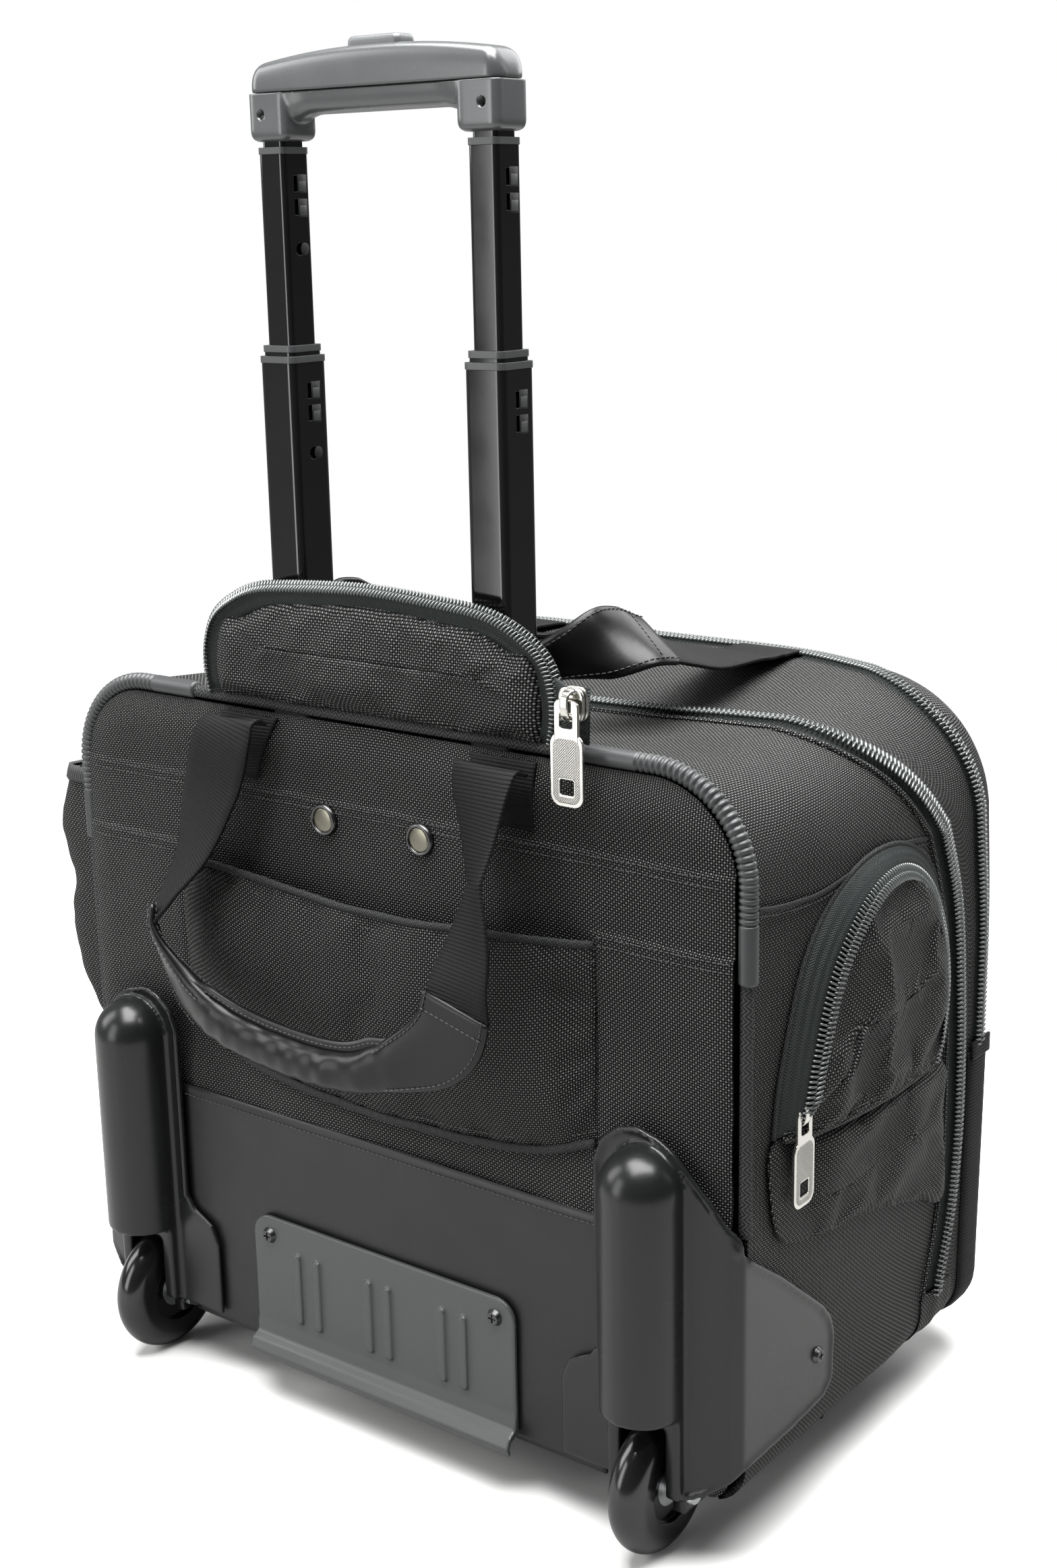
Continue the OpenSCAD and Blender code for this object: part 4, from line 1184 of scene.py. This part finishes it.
def relax(o, pressure, slack, cap_mm, held=None, bend=0.6):
    """Lets a sheet settle as cloth under pressure from inside; its border (and held vertices) stay put."""
    with editing(o) as bm:
        fixed = {v.index for e in bm.edges if len(e.link_faces) < 2 for v in e.verts}
    start = coordinates(o.data)
    if held is not None:
        fixed |= set(np.nonzero(held(start / MM - [0, REAR, 0]))[0].tolist())
    o.vertex_groups.new(name="pins").add(sorted(fixed), 1.0, "REPLACE")
    cloth = modifier(o, "CLOTH")
    settings = {**CLOTH, "bending_stiffness": bend, "uniform_pressure_force": pressure,
                "shrink_min": -slack, "shrink_max": -slack}
    for key, value in settings.items():
        setattr(cloth.settings, key, value)
    cloth.settings.effector_weights.gravity = 0
    cloth.point_cache.frame_start, cloth.point_cache.frame_end = 1, CLOTH_FRAMES
    for f in range(1, CLOTH_FRAMES + 1):
        bpy.context.scene.frame_set(f)
    move = coordinates(evaluated(o).data) - start
    size = np.linalg.norm(move, axis=1, keepdims=True)
    cap = cap_mm * MM
    move = move * cap * np.tanh(size / cap) / np.maximum(size, 1e-9)
    o.modifiers.remove(cloth)
    o.vertex_groups.clear()
    o.data.vertices.foreach_set("co", (start + move).ravel())
    o.data.update()
    bpy.context.scene.frame_set(1)


# ---------- hood ----------

HOOD_HALF, _, HOOD_TOP = cad("hood")[1]
HOOD_DEPTH = 15.0
HOOD_FOOT = 398.5
HOOD_FOLD = ("case", "hood", (0, HOOD_DEPTH, 403), (0, HOOD_DEPTH, 424))


def hood_edge(inset):
    """The hood's edge from the right foot over the top to the left foot."""
    w, top = HOOD_HALF - inset, HOOD_TOP - inset
    half = [(w - 2.5, HOOD_FOOT), (w - 0.5, HOOD_FOOT + 11), (w - 1.5, HOOD_FOOT + 25), (w - 7, HOOD_FOOT + 38),
            (w - 19, top - 13), (w - 37, top - 5.5), (w - 62, top - 2.5), (0, top)]
    return through(half + [(-x, z) for x, z in half[-2::-1]], 180)


def hood_panel(name, inset, height, middle_z, depth, way):
    """One of the hood's two padded faces; way is -1 for the rear one and 1 for the one inside."""
    edge = hood_edge(inset)
    foot = np.stack([np.linspace(edge[-1, 0], edge[0, 0], 60)[1:-1], np.full(58, HOOD_FOOT)], 1)
    o = pillow(name, np.vstack([edge, foot]), centre_on(0.66, middle_z), height,
               lambda a, b, h: (a, depth + way * h, b), flip=way < 0)
    if way < 0:
        relax(o, 5.0, 0.012, 1.6, bend=8)
    return add(thick(o, 1.2), HOOD_FOLD, "nylon", "ballistic_nylon")


def hood():
    face = hood_panel("hood_face", 10.0, lambda s, d, a, b: swollen(d, 8.5, 17)
                      + 0.8 * ripple(a, b, 51, 60) * smooth(d / 12), 426, HOOD_DEPTH - 1.2, -1)
    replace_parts(face, "hood", "hood_base")
    hood_panel("hood_back", 1.0, lambda s, d, a, b: swollen(d, 3.0, 8), 428, HOOD_DEPTH + 1.5, 1)
    x, z = hood_edge(2.2).T
    path = np.stack([x, np.full(len(x), HOOD_DEPTH - 2.5), z], 1)
    away = unit(np.cross(tangents(path), (0, 1, 0)))
    away = away * np.sign((away * (path - [0, HOOD_DEPTH, 420])).sum(1, keepdims=True))
    rear = np.broadcast_to(np.array([0.0, -1.0, 0.0]), path.shape)
    out = unit(0.75 * away + 0.66 * rear)
    over = unit(0.66 * away - 0.75 * rear)
    names = ("hood_coil_rear", "hood_coil_front")
    zip_coils(names, (HOOD_FOLD, HOOD_FOLD), path + out * 2.7, out, -over, 2.2, 0.95)
    tape("hood_tape", HOOD_FOLD, path + rear * 1.6, rear, -away, -1.2, 9.5, drop=0.6, lift=0.2)
    tape("hood_tape_back", HOOD_FOLD, path + [0, 3.2, 0], -rear, -away, -1.0, 10, drop=-0.8, lift=1.6)
    # the zip's end, sewn to a tab on the case beside the slider
    tab = through([(HOOD_HALF - 8, 13.5, 421), (HOOD_HALF - 1, 11.5, 418), (HOOD_HALF + 6, 10.0, 415),
                   (cad("hood_base")[1][0] + 0.5, 9.6, 414.5)], 20)
    tab = strap("hood_zip_tab", tab, (0, 0, 1), np.linspace(20, 27, 20), 1.8, 7)
    add(tab, "case", "tape", "ballistic_nylon")
    x, z = hood_edge(10.0).T
    lip = np.stack([x, np.full(len(x), HOOD_DEPTH - 2.6), z], 1)
    add(sweep("hood_fabric_edge", even(3, lip)[0], 1.3, 8), HOOD_FOLD, "nylon_boxed", "ballistic_nylon")


# ---------- side pockets ----------

SIDE_FACE = HALF_W + 1.4
# (depth, z) along the zipped pocket's edge, its tape's outer edge, its hem and the padded panel below it
ARCH = [(53, 222), (57, 236), (64, 256), (77, 285), (97, 306), (124, 318.5), (155, 317), (182, 301), (198, 275),
        (205, 246), (203, 218), (196, 204)]
ARCH_OUTER = [(36, 217), (40, 240), (50, 270), (64, 299), (88, 321), (122, 333), (158, 331), (188, 314), (207, 284),
              (214, 248), (212, 216), (205, 200)]
HEM = [(196, 203.5), (139, 207.5), (71, 212.5), (40, 217)]
LOWER = [(36, 215), (71, 211), (139, 206), (204, 201), (209, 178), (211, 150), (212, 118), (186, 127), (143, 140),
         (110, 147), (73, 153), (44, 163), (34, 190)]


def on_side(line, out):
    return np.stack([SIDE_FACE + out + 0 * line[:, 0], line[:, 0], line[:, 1]], 1)


def zip_pocket():
    """The right side's zipped pocket."""
    name = "side_pocket_right"
    arch, outer, hem = through(ARCH, 150), through(ARCH_OUTER, 150), through(HEM, 70)
    edge_height = 3.0 + 6.5 * (1 - smooth((arch[:, 0] - 90) / 110)) * smooth((arch[:, 1] - 214) / 20)
    hem_height = 3.0 + 6.0 * np.sin(np.linspace(0, math.pi, 70)) ** 0.8
    edge, rim = on_side(arch, edge_height), on_side(outer, 0)
    loop_height = np.concatenate([edge_height, hem_height[1:-1]])

    def height(s, d, a, b):
        inside = 1 - s
        full = np.sin(math.pi / 2 * inside)
        calm = loop_height * (1 - full) + 9.5 * full
        slanting = 1.1 * np.sin((a * 0.9 + b * 0.45) / 8.5) * bump(b, 250, 45)
        folds = 1.5 * ripple(a * 0.6, b * 1.3, 61, 60) + slanting
        return calm + 3.6 * smooth(inside * 1.5) + folds * smooth(inside * 2.5)
    body = pillow(name + "_cloth", np.vstack([arch, hem[1:-1]]), centre_on(0.35, 256, 130), height,
                  lambda a, b, h: (SIDE_FACE + h, a, b), rings=22)
    relax(body, 7.0, 0.028, 4.5, bend=4)
    add(thick(body, 1.6), "case", "nylon", "ballistic_nylon", name)
    # tape between the side and the zip
    share = np.linspace(0, 1, 7)[:-1][None, :, None]
    band = rim[:, None] + (edge - rim)[:, None] * share
    band[..., 0] += 2.0 * np.sin(share[..., 0] * math.pi) * smooth(np.abs(edge[:, 0] - rim[:, 0]) / 5)[:, None]
    uv = np.stack(np.broadcast_arrays(np.linspace(0, 16, 6)[None, :], lengths(rim)[:, None]), -1)
    gap = thick(new_piece(name + "_tape", band, flipped(grid_faces(*band.shape[:2])), uv), 1.0, 0.0)
    add(gap, "case", "tape", "ballistic_nylon")
    bind(name + "_rim", rim + [0.4, 0, 0], 1.5, normal=(1, 0, 0), flat=0.8)
    toward = unit(rim - edge)
    outward = unit([1, 0, 0] + toward * 0.7)
    names = (name + "_coil_outer", name + "_coil_inner")
    zip_coils(names, ("case", "case"), edge + outward * 2.0, outward, toward, 2.1, 1.15)
    # folded hem under the pocket
    fold = on_side(hem, hem_height + 0.6) - [0, 0, 1]
    fold_edge = sweep(name + "_hem", fold, 1.9, 8, normal=(1, 0, 0), flat=0.7)
    add(fold_edge, "case", "nylon_boxed", "ballistic_nylon")
    sew(name + "_stitches", fold + [0.9, 0, 4.0], (1, 0, 0))


def lower_panel(side, name):
    """The padded panel under each side pocket."""
    def height(s, d, a, b):
        return swollen(d, 6.0, 22) + 1.2 * ripple(a, b, 63 + side, 80) * smooth(d / 15) \
            + 3.5 * bump(b, 205, 14) * smooth(d / 8)

    def lift(a, b, h):
        return side * (SIDE_FACE - 0.6 + h * (0.2 + 0.8 * smooth((a - 60) / 30))), a, b
    loop = through(LOWER, 160, closed=True)
    lower = pillow(f"side_pocket_{name}_lower", loop, centre_on(0.45, 172, 125), height, lift, flip=side < 0)
    relax(lower, 3.0, 0.012, 2.0, lambda p: p[:, 1] < 66, bend=5)
    add(thick(lower, 1.4), "case", "nylon", "ballistic_nylon")


# (z, mm out) along the open pocket's belly
BELLY = [(170, 0.4), (180, 5), (193, 15), (205, 22), (216, 27), (228, 31.5), (240, 33.5), (252, 32), (263, 29),
         (274, 28.5), (285, 32), (297, 36), (310, 34.5), (325, 28.5), (336, 24.5)]


def open_pocket():
    """The left side's open pocket: cloth that bellies out behind and is sewn down in front and below."""
    name, rear, top, face = "side_pocket_left", 19.0, 336, HALF_W + 0.9
    u = np.linspace(0, 1, 130)
    d, z = np.meshgrid(rear + 183 * np.clip((u - 0.1) / 0.9, 0, 1) ** 1.5, np.linspace(top, 170, 84))
    belly = np.interp(z, *np.array(BELLY).T)
    rise = smooth(u / 0.17) * (1 - 0.3 * smooth((u - 0.25) / 0.35)) * (1 - smooth((u - 0.5) / 0.5))
    clear = smooth((z - 172 + 0.76 * (d - rear)) / 24)
    calm = smooth((top - z) / 40) * smooth((z - 181) / 30) * rise ** 0.5
    folds = 1.8 * ripple(d * 0.7, z * 1.4, 91, 46) + 1.3 * np.sin((z * 0.8 + d * 0.5) / 9.0) * bump(d, 70, 50)
    out = np.maximum(belly * rise + calm * folds, 0.2) * clear
    z_top = z - 0.05 * (d - rear) * smooth((z - 290) / 46)
    cloth = grid(name + "_cloth", np.stack([-(face + out), d, z_top], -1))
    add(thick(cloth, 1.4), "case", "nylon_boxed", "ballistic_nylon", name)
    # hem folded over the opening: out, down and the row of cloth that it follows
    fold = [(-0.8, 0.6, 0), (1.0, 1.2, 0), (1.4, -2.0, 1), (1.4, -6.0, 3), (0.2, -7.4, 3)]
    rim = [np.stack([-(face + out[row] + dx), d[0], z_top[0] + dz], -1) for dx, dz, row in fold]
    add(thick(grid(name + "_hem", np.stack(rim)), 1.0, 1.0), "case", "grosgrain", "ballistic_nylon")
    seam = np.stack([-(face + 2.7 + out[2]), d[2], z_top[0] - 5.0], -1)[14:]
    sew(name + "_stitches", seam, unit(np.array([-1.0, -0.4, 0.0])))


# ---------- carry handles ----------

def leather_wrap(name, stations, body, seam=1):
    """Leather folded round a handle: flat and wide at its flared ends, round in the hand, sewn along one side.

    Each station is a point, half its width and thickness, and the direction of its width."""
    count = 120
    stack = through([(*point, *half, *across) for point, half, across in stations], count)
    pts, wide, deep = stack[:, :3], stack[:, 3:4], stack[:, 4:5]
    t = tangents(pts)
    side = square_to(t, unit(stack[:, 5:8]))
    up = np.cross(t, side)
    a = np.linspace(0, 2 * math.pi, 28, endpoint=False)[None, :]
    power = 0.5 + 0.45 * np.clip(deep / wide, 0, 1)
    along = np.arange(count)[:, None] * 3.0
    rolled = smooth((deep / wide - 0.25) / 0.4)
    crease = 0.7 * ripple(along, a * 9, 71, 30) * rolled + 0.5 * ripple(along, a * 4, 72, 16) * rolled
    ring_x = squared(np.cos(a), power) * wide * (1 + 0.035 * crease)
    ring_y = squared(np.sin(a), power) * deep * (1 + 0.09 * crease)
    skin = pts[:, None] + ring_x[..., None] * side[:, None] + ring_y[..., None] * up[:, None]
    leather = new_piece("leather", skin, tube_faces(count, a.size))
    hand = slice(count // 5, count - count // 5)
    order = np.arange(count)[hand] - count // 5
    ends = smooth(np.minimum(order, order[::-1]) / 9.0)[:, None]
    lane = pts[hand] + side[hand] * seam * (wide[hand] - 4.0 + 5.2 * ends)
    flange = strap("flange", lane, side[hand], 7.5, 2.6, 3)
    add(joined(name, [leather, flange]), body, "leather", "leather")
    seams = [stitches("s", lane + up[hand] * way * 1.45 + side[hand] * seam, up[hand] * way) for way in (-1, 1)]
    for end in (slice(0, count // 4), slice(count - count // 4, count)):
        for edge in (-1, 1):
            for way in (-1, 1):
                row = pts[end] + side[end] * edge * (wide[end] - 3.0) + up[end] * way * (deep[end] * 0.93 + 0.1)
                seams.append(stitches("s", row, up[end] * way))
    for k in (4, -5):
        for way in (-1, 1):
            reach = np.linspace(-1, 1, 9)[:, None] * (wide[k] - 3.0)
            seams.append(stitches("s", pts[k] + side[k] * reach + up[k] * way * (deep[k] + 0.1), up[k] * way))
    add(joined(name + "_stitches", seams), body, "thread", "leather")
    return leather


# A strap from the case to each end of the rear handle's leather, with the direction of its width
REAR_STRAPS = [
    ([(-81, 1.5, 386), (-82, -5, 388), (-85, -9.5, 378), (-95, -11, 350), (-108, -14, 318), (-121, -20, 294),
      (-128, -26, 279)],
     [(1, 0, 0.05), (1, 0, 0.1), (1, 0, 0.28), (0.9, -0.2, 0.35), (0.75, -0.5, 0.35)]),
    ([(84, 1.5, 384), (84, -5.5, 386), (84, -10, 374), (85, -14, 350), (87, -21, 326), (88, -27, 306),
      (87, -33, 288), (86, -34.5, 274)],
     [(1, 0, 0), (1, -0.05, 0), (0.95, -0.3, 0), (0.7, -0.72, 0.03), (0.85, -0.45, 0), (1, 0, 0)]),
]
REAR_GRIP = [
    ((-129, -25, 283), (19.5, 2.2), (0.7, -0.6, 0.3)), ((-124, -28, 272), (19.5, 2.3), (0.6, -0.65, 0.45)),
    ((-112, -30, 258), (17, 3.4), (0.45, -0.55, 0.7)), ((-92, -32, 243), (13, 6.0), (0.3, -0.3, 0.9)),
    ((-62, -34, 232), (10.8, 8.2), (0.15, -0.05, 1)), ((-20, -36, 228), (10.3, 8.4), (0, 0, 1)),
    ((15, -36.5, 229), (10.3, 8.2), (-0.1, 0, 1)), ((38, -36, 235), (12, 6.8), (-0.3, 0, 0.95)),
    ((56, -36, 243), (15.5, 4.2), (-0.5, 0, 0.85)), ((72, -35.5, 252), (19, 2.8), (-0.72, 0, 0.66)),
    ((82, -35, 263), (20.5, 2.2), (-0.93, 0, 0.3)), ((86, -34.5, 277), (20.5, 2.1), (-1, 0, 0)),
]
# Right half of the front handle's leather
FRONT_GRIP = [
    ((104, 110, 430), (20.5, 2.2), (0.86, -0.15, -0.48)), ((100, 95, 433.5), (20.5, 2.4), (0.8, -0.1, -0.6)),
    ((92, 81, 432), (18.5, 3.4), (0.65, 0.1, -0.75)), ((78, 72.5, 427), (13.5, 5.8), (0.4, 0.25, -0.88)),
    ((60, 69, 422), (10.8, 8.0), (0.15, 0.3, -0.94)), ((28, 67, 419), (10.3, 8.3), (0, 0.3, -0.95)),
]


def rear_handle():
    made = [strap("s", through(path, 100), unit(through(turns, 100)), 39, 2.0, 9)
            for path, turns in REAR_STRAPS]
    add(joined("rear_handle_webbing_cloth", made), "rear_handle", "webbing", "webbing", "rear_handle_webbing")
    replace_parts(leather_wrap("rear_handle_leather", REAR_GRIP, "rear_handle"), "rear_handle_grip")
    # sewn base tabs that stay on the case
    tabs = []
    for side in (-1, 1):
        v = np.linspace(0, 1, 14)[:, None]
        x = side * 83 + np.linspace(-20, 20, 21) * (1 - 0.45 * v) + side * 7 * v
        rows = on_rear(x, 389 - 34 * v, 1.0 + 0.9 * (1 - v))
        tabs.append(apply_modifiers(thick(grid("t", rows, flip=True), 1.6)))
    add(joined("rear_handle_tabs", tabs), "case", "webbing", "webbing")


def front_handle():
    body, root_x = "front_handle", 81
    made, roots = [], []
    for side in (1, -1):
        root = [(root_x, FRONT + 3.8, 352), (root_x, FRONT + 3.2, 366), (root_x, FRONT - 3.5, 384),
                (root_x, FRONT - 14, 394.5), (81.5, 257, 398.2), (83, 238, 399.5)]
        path = [(82.9, 239.5, 399.4), (84, 225, 401), (86, 205, 405), (94, 160, 413), (100, 125, 424),
                (103, 104, 431)]
        turns = [(1, 0, 0), (1, 0, 0), (0.95, -0.1 * side, -0.25 * side), (0.88, -0.15 * side, -0.45 * side)]
        roots.append(strap("r", through(np.array(root) * [side, 1, 1], 60), (1, 0, 0), 38, 2.0, 9))
        across = unit(through(turns, 110))
        made.append(strap("s", through(np.array(path) * [side, 1, 1], 110), across, 38, 2.0, 9))
    add(joined("front_handle_webbing", made), body, "webbing", "webbing", "front_handle")
    left = [((-x, depth, z), half, (-ax, ay, az)) for (x, depth, z), half, (ax, ay, az) in FRONT_GRIP[::-1]]
    leather_wrap("front_handle_leather", FRONT_GRIP + left, body, seam=-1)
    bend = ("front_flap", body, (root_x, FRONT, 368), (root_x, 240, 399))
    add(joined("front_handle_roots", roots), bend, "webbing", "webbing")
    x = np.linspace(-16, 16, 12)
    rows = [stitches("s", np.stack([side * root_x + x, FRONT + 4.4 + 0 * x, z + 0 * x], 1), (0, 1, 0))
            for side in (-1, 1) for z in (354.5, 372.0)]
    add(joined("front_handle_stitches", rows), "front_flap", "thread", "webbing")


# ---------- zip sliders and pullers ----------

# Which side each slider's face is turned to: 0 to the rear, 1 to the right, -1 to the left
SLIDER_TURNS = {"hood_puller": 0, "side_puller": 1, "main_puller": -1, "front_puller": -1}
PULL_DEPTH = 4.0


def turned(points, at, turn):
    """Points drawn about a slider, with its face towards -depth, turned to face one side of the case."""
    p = np.asarray(points, float)
    if turn:
        p = np.stack([-turn * p[:, 1], turn * p[:, 0], p[:, 2]], 1)
    return p + np.array(at, float)


def rounded_loop(x0, x1, z0, z1, r, per=7):
    pts = []
    for cx, cz, a0 in ((x1 - r, z1 - r, 0), (x0 + r, z1 - r, 90), (x0 + r, z0 + r, 180), (x1 - r, z0 + r, 270)):
        for k in range(per):
            a = math.radians(a0 + 90 * k / (per - 1))
            pts.append((cx + r * math.cos(a), cz + r * math.sin(a)))
    return pts


def plate(loops, thickness, chamfer, y, at, turn):
    """A flat plate with holes and chamfered edges, y mm behind a slider's middle."""
    curve = bpy.data.curves.new("plate", "CURVE")
    curve.dimensions, curve.fill_mode = "2D", "BOTH"
    curve.extrude, curve.bevel_depth, curve.bevel_resolution = thickness / 2 - chamfer, chamfer, 2
    for loop in loops:
        s = curve.splines.new("POLY")
        s.points.add(len(loop) - 1)
        for p, (x, z) in zip(s.points, loop):
            p.co = (x, z, 0, 1)
        s.use_cyclic_u = True
    o = linked("plate", curve)
    bpy.context.view_layer.update()
    me = bpy.data.meshes.new_from_object(evaluated(o))
    pts = [(v.co.x, y - v.co.z, v.co.y) for v in me.vertices]
    piece = new_piece("p", turned(pts, at, turn), [tuple(f.vertices) for f in me.polygons])
    bpy.data.objects.remove(o)
    bpy.data.meshes.remove(me)
    return piece


def puller(node, at, turn):
    """A flat pull: a ring on the slider's bridge, a knurled plate with a plain rim, and a window at its end."""
    frame_plate = [rounded_loop(-8.9, 8.9, -47, -13, 5.2), rounded_loop(-4.2, 4.2, -42, -34, 1.2)[::-1]]
    ring = [rounded_loop(-6.3, 6.3, -20, 2.6, 2.8), rounded_loop(-3.9, 3.9, -10.5, -2.6, 1.6)[::-1]]
    pad = [rounded_loop(-7.2, 7.2, -45.2, -15.2, 4.0), rounded_loop(-5.0, 5.0, -42.8, -33.2, 1.6)[::-1]]
    plates = ((frame_plate, 1.7, "nickel"), (ring, 1.9, "nickel"), (pad, 2.25, "knurled"))
    pieces = [wear(plate(loops, mm, 0.3, -PULL_DEPTH, at, turn), finish) for loops, mm, finish in plates]
    o = smooth_shaded(joined(node + "_metal", pieces), False)
    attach(o, node)
    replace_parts(o, node)


def slider(name, at, turn):
    """Slider body: two rounded plates round the coil, joined at one end, with a bridge for the puller."""
    parts = [plate([rounded_loop(-6.4 - grow, 6.4 + grow, -7.8, 7.8, 4.2)], 1.7, 0.4, y, at, turn)
             for y, grow in ((3.4, 0.0), (-0.2, 0.3))]
    post = turned([(0, 3.4, 4.6), (0, 1.6, 4.9), (0, -0.2, 4.6)], at, turn)
    parts.append(sweep("p", post, 2.0, 10, normal=(0, 0, 1)))
    arch = through([(0, -0.6, 6.0), (0, -3.2, 6.4), (0, -5.6, 4.6), (0, -6.2, 0.5), (0, -5.4, -3.8), (0, -2.8, -5.6),
                    (0, -0.6, -5.4)], 26)
    parts.append(strap("p", turned(arch, at, turn), (0, 1, 0) if turn else (1, 0, 0), 4.4, 1.5))
    return melt(joined(name, parts), 0.42, 2)


def zip_pulls():
    case_sliders = []
    for node, turn in SLIDER_TURNS.items():
        joint = next(j for j in frame["joints"] if j["child"] == node)
        pin = np.array(joint["pos_m"]) / MM - [0, REAR, 0]
        at = pin - [turn * PULL_DEPTH, 0 if turn else -PULL_DEPTH, 0]
        puller(node, at, turn)
        s = slider(node.replace("puller", "slider") + "_metal", at, turn)
        if node == "front_puller":
            add(s, "front_section", "nickel", "zip_nickel", "front_zip_slider")
        else:
            case_sliders.append(s)
    add(joined("zip_sliders_metal", case_sliders), "case", "nickel", "zip_nickel", "zip_sliders")


# ---------- inside ----------

def lining():
    low, high = cad("padded_divider")
    tau, side = both_ways(taus(), closed=True)
    x, z, _, _ = half_outline(tau, 249.0, 5.0)
    corners = rounded_loop(low[0], high[0], low[2], high[2], 14, 12)
    outlines = {"padded_divider": through(corners, 220, closed=True), "front_divider": np.stack([side * x, z], 1)}
    for node, body in (("padded_divider", "case"), ("front_divider", "front_section")):
        low, high = cad(node)
        half, mid = (high[1] - low[1]) / 2, (high[1] + low[1]) / 2
        sheets = [pillow("l", outlines[node], centre_on(0.5, (low[2] + high[2]) / 2),
                         lambda s, d, a, b: swollen(d, half * 0.95, 5) * (1 - 0.3 * bump(b % 60, 30, 2)),
                         lambda a, b, h, way=way: (a, mid + way * h, b), flip=way > 0) for way in (-1, 1)]
        add(joined(node + "_pad", sheets), body, "lining", "lining_pad", node)


# ---------- floor, light and camera ----------

def floor():
    """A white floor that fades out at its rim and throws back less light than it shows."""
    rings = np.concatenate([np.linspace(0, 900, 7), np.linspace(1100, 3000, 8)])
    turn = np.linspace(0, 2 * math.pi, 64, endpoint=False)
    pts = [(r * math.cos(a), 124 + r * math.sin(a), -0.05) for r in rings for a in turn]
    o = new_piece("floor", pts, grid_faces(len(rings), 64, True))
    f = Finish("floor_white", (0.88, 0.88, 0.87), 0.55, 0.2)
    seen = f.node("ShaderNodeLightPath").outputs["Is Camera Ray"]
    f.set(base_color=f.mix(seen, (0.4, 0.4, 0.395), (0.88, 0.88, 0.87)))
    x, y, _ = split(f.tree, f.coordinates())
    reach = (x ** 2.0 + y ** 2.0).root()
    fade = f.node("ShaderNodeMapRange", reach, 0.8, 1.7, 0.0, 1.0, interpolation_type="SMOOTHSTEP").outputs[0]
    clear = f.node("ShaderNodeBsdfTransparent").outputs[0]
    connect(f.out.inputs[0], f.node("ShaderNodeMixShader", fade, f.bsdf.outputs[0], clear).outputs[0])
    o.data.materials.append(f.mat)


def studio():
    """A white world for the camera, and for light one that is brighter from below and from the left."""
    world = bpy.data.worlds.new("studio")
    world.use_nodes = True
    tree = world.node_tree
    x, _, z = split(tree, new_node(tree, "ShaderNodeTexCoord").outputs["Generated"])
    ramps = [Value(new_node(tree, "ShaderNodeMapRange", value, *ends).outputs[0])
             for value, ends in ((x, (-0.7, 0.9, 1.15, 0.3)), (z, (-0.35, 0.1, 0.5, 0.24)))]
    seen = new_node(tree, "ShaderNodeLightPath").outputs["Is Camera Ray"]
    background = tree.nodes["Background"]
    connect(background.inputs[0], (1.0, 1.0, 1.0))
    connect(background.inputs[1], (ramps[0] * ramps[1]).at_least(seen))
    bpy.context.scene.world = world
    bpy.context.scene.view_settings.view_transform = "Standard"


def softbox(name, place, target, size, power, size_y=None):
    light = bpy.data.lights.new(name, "AREA")
    light.shape = "RECTANGLE"
    light.size, light.size_y = size, size_y or size
    light.energy = power
    o = linked(name, light)
    o.location = place
    o.rotation_euler = (Vector(target) - Vector(place)).to_track_quat("-Z", "Y").to_euler()


def stage():
    floor()
    studio()
    softbox("top_softbox", (0.1, -0.1, 2.0), (0.0, 0.0, 0.2), 1.75, 155)
    softbox("left_softbox", (-1.9, -1.0, 1.4), (0, 0, 0.35), 0.9, 26, 1.5)
    softbox("rear_strip", (-0.5, -1.16, 0.52), (0.06, 0, 0.45), 0.42, 5.5, 0.85)
    softbox("right_softbox", (2.0, 1.4, 1.5), (0, 0, 0.35), 0.7, 5, 1.2)
    softbox("back_softbox", (0.3, 2.1, 1.6), (0, 0, 0.3), 1.6, 30)


CAMERA_PLACE = (680.8, -754.0, 634.5)
CAMERA_YAW, CAMERA_PITCH, CAMERA_ROLL = 37.35, 14.98, -1.13
LENS = 48.6


def camera():
    yaw, pitch, roll = (math.radians(v) for v in (CAMERA_YAW, CAMERA_PITCH, CAMERA_ROLL))
    ahead = np.array([-math.sin(yaw) * math.cos(pitch), math.cos(yaw) * math.cos(pitch), -math.sin(pitch)])
    right = np.array([math.cos(yaw), math.sin(yaw), 0.0])
    up = np.cross(right, ahead)
    r = math.cos(roll) * right + math.sin(roll) * up
    u = -math.sin(roll) * right + math.cos(roll) * up
    data = bpy.data.cameras.new("camera")
    data.lens, data.sensor_width = LENS, 36
    data.clip_start, data.clip_end = 0.05, 30
    o = linked("camera", data)
    place = row_point(*CAMERA_PLACE)
    o.matrix_world = Matrix([[r[k], u[k], -ahead[k], place[k]] for k in range(3)] + [[0, 0, 0, 1]])
    bpy.context.scene.camera = o


# ---------- the whole case ----------

for build in (dress_cad_nodes, rear_gusset, front_gusset, main_zip, front_zip, front_pocket, rear_face, vinyl_sheet,
              piping, patch_pocket, snaps, moulded_hardware, grip, tube_locks, hood, zip_pocket):
    build()
for side, name in SIDES:
    lower_panel(side, name)
for build in (open_pocket, rear_handle, front_handle, zip_pulls, lining, stage, camera):
    build()
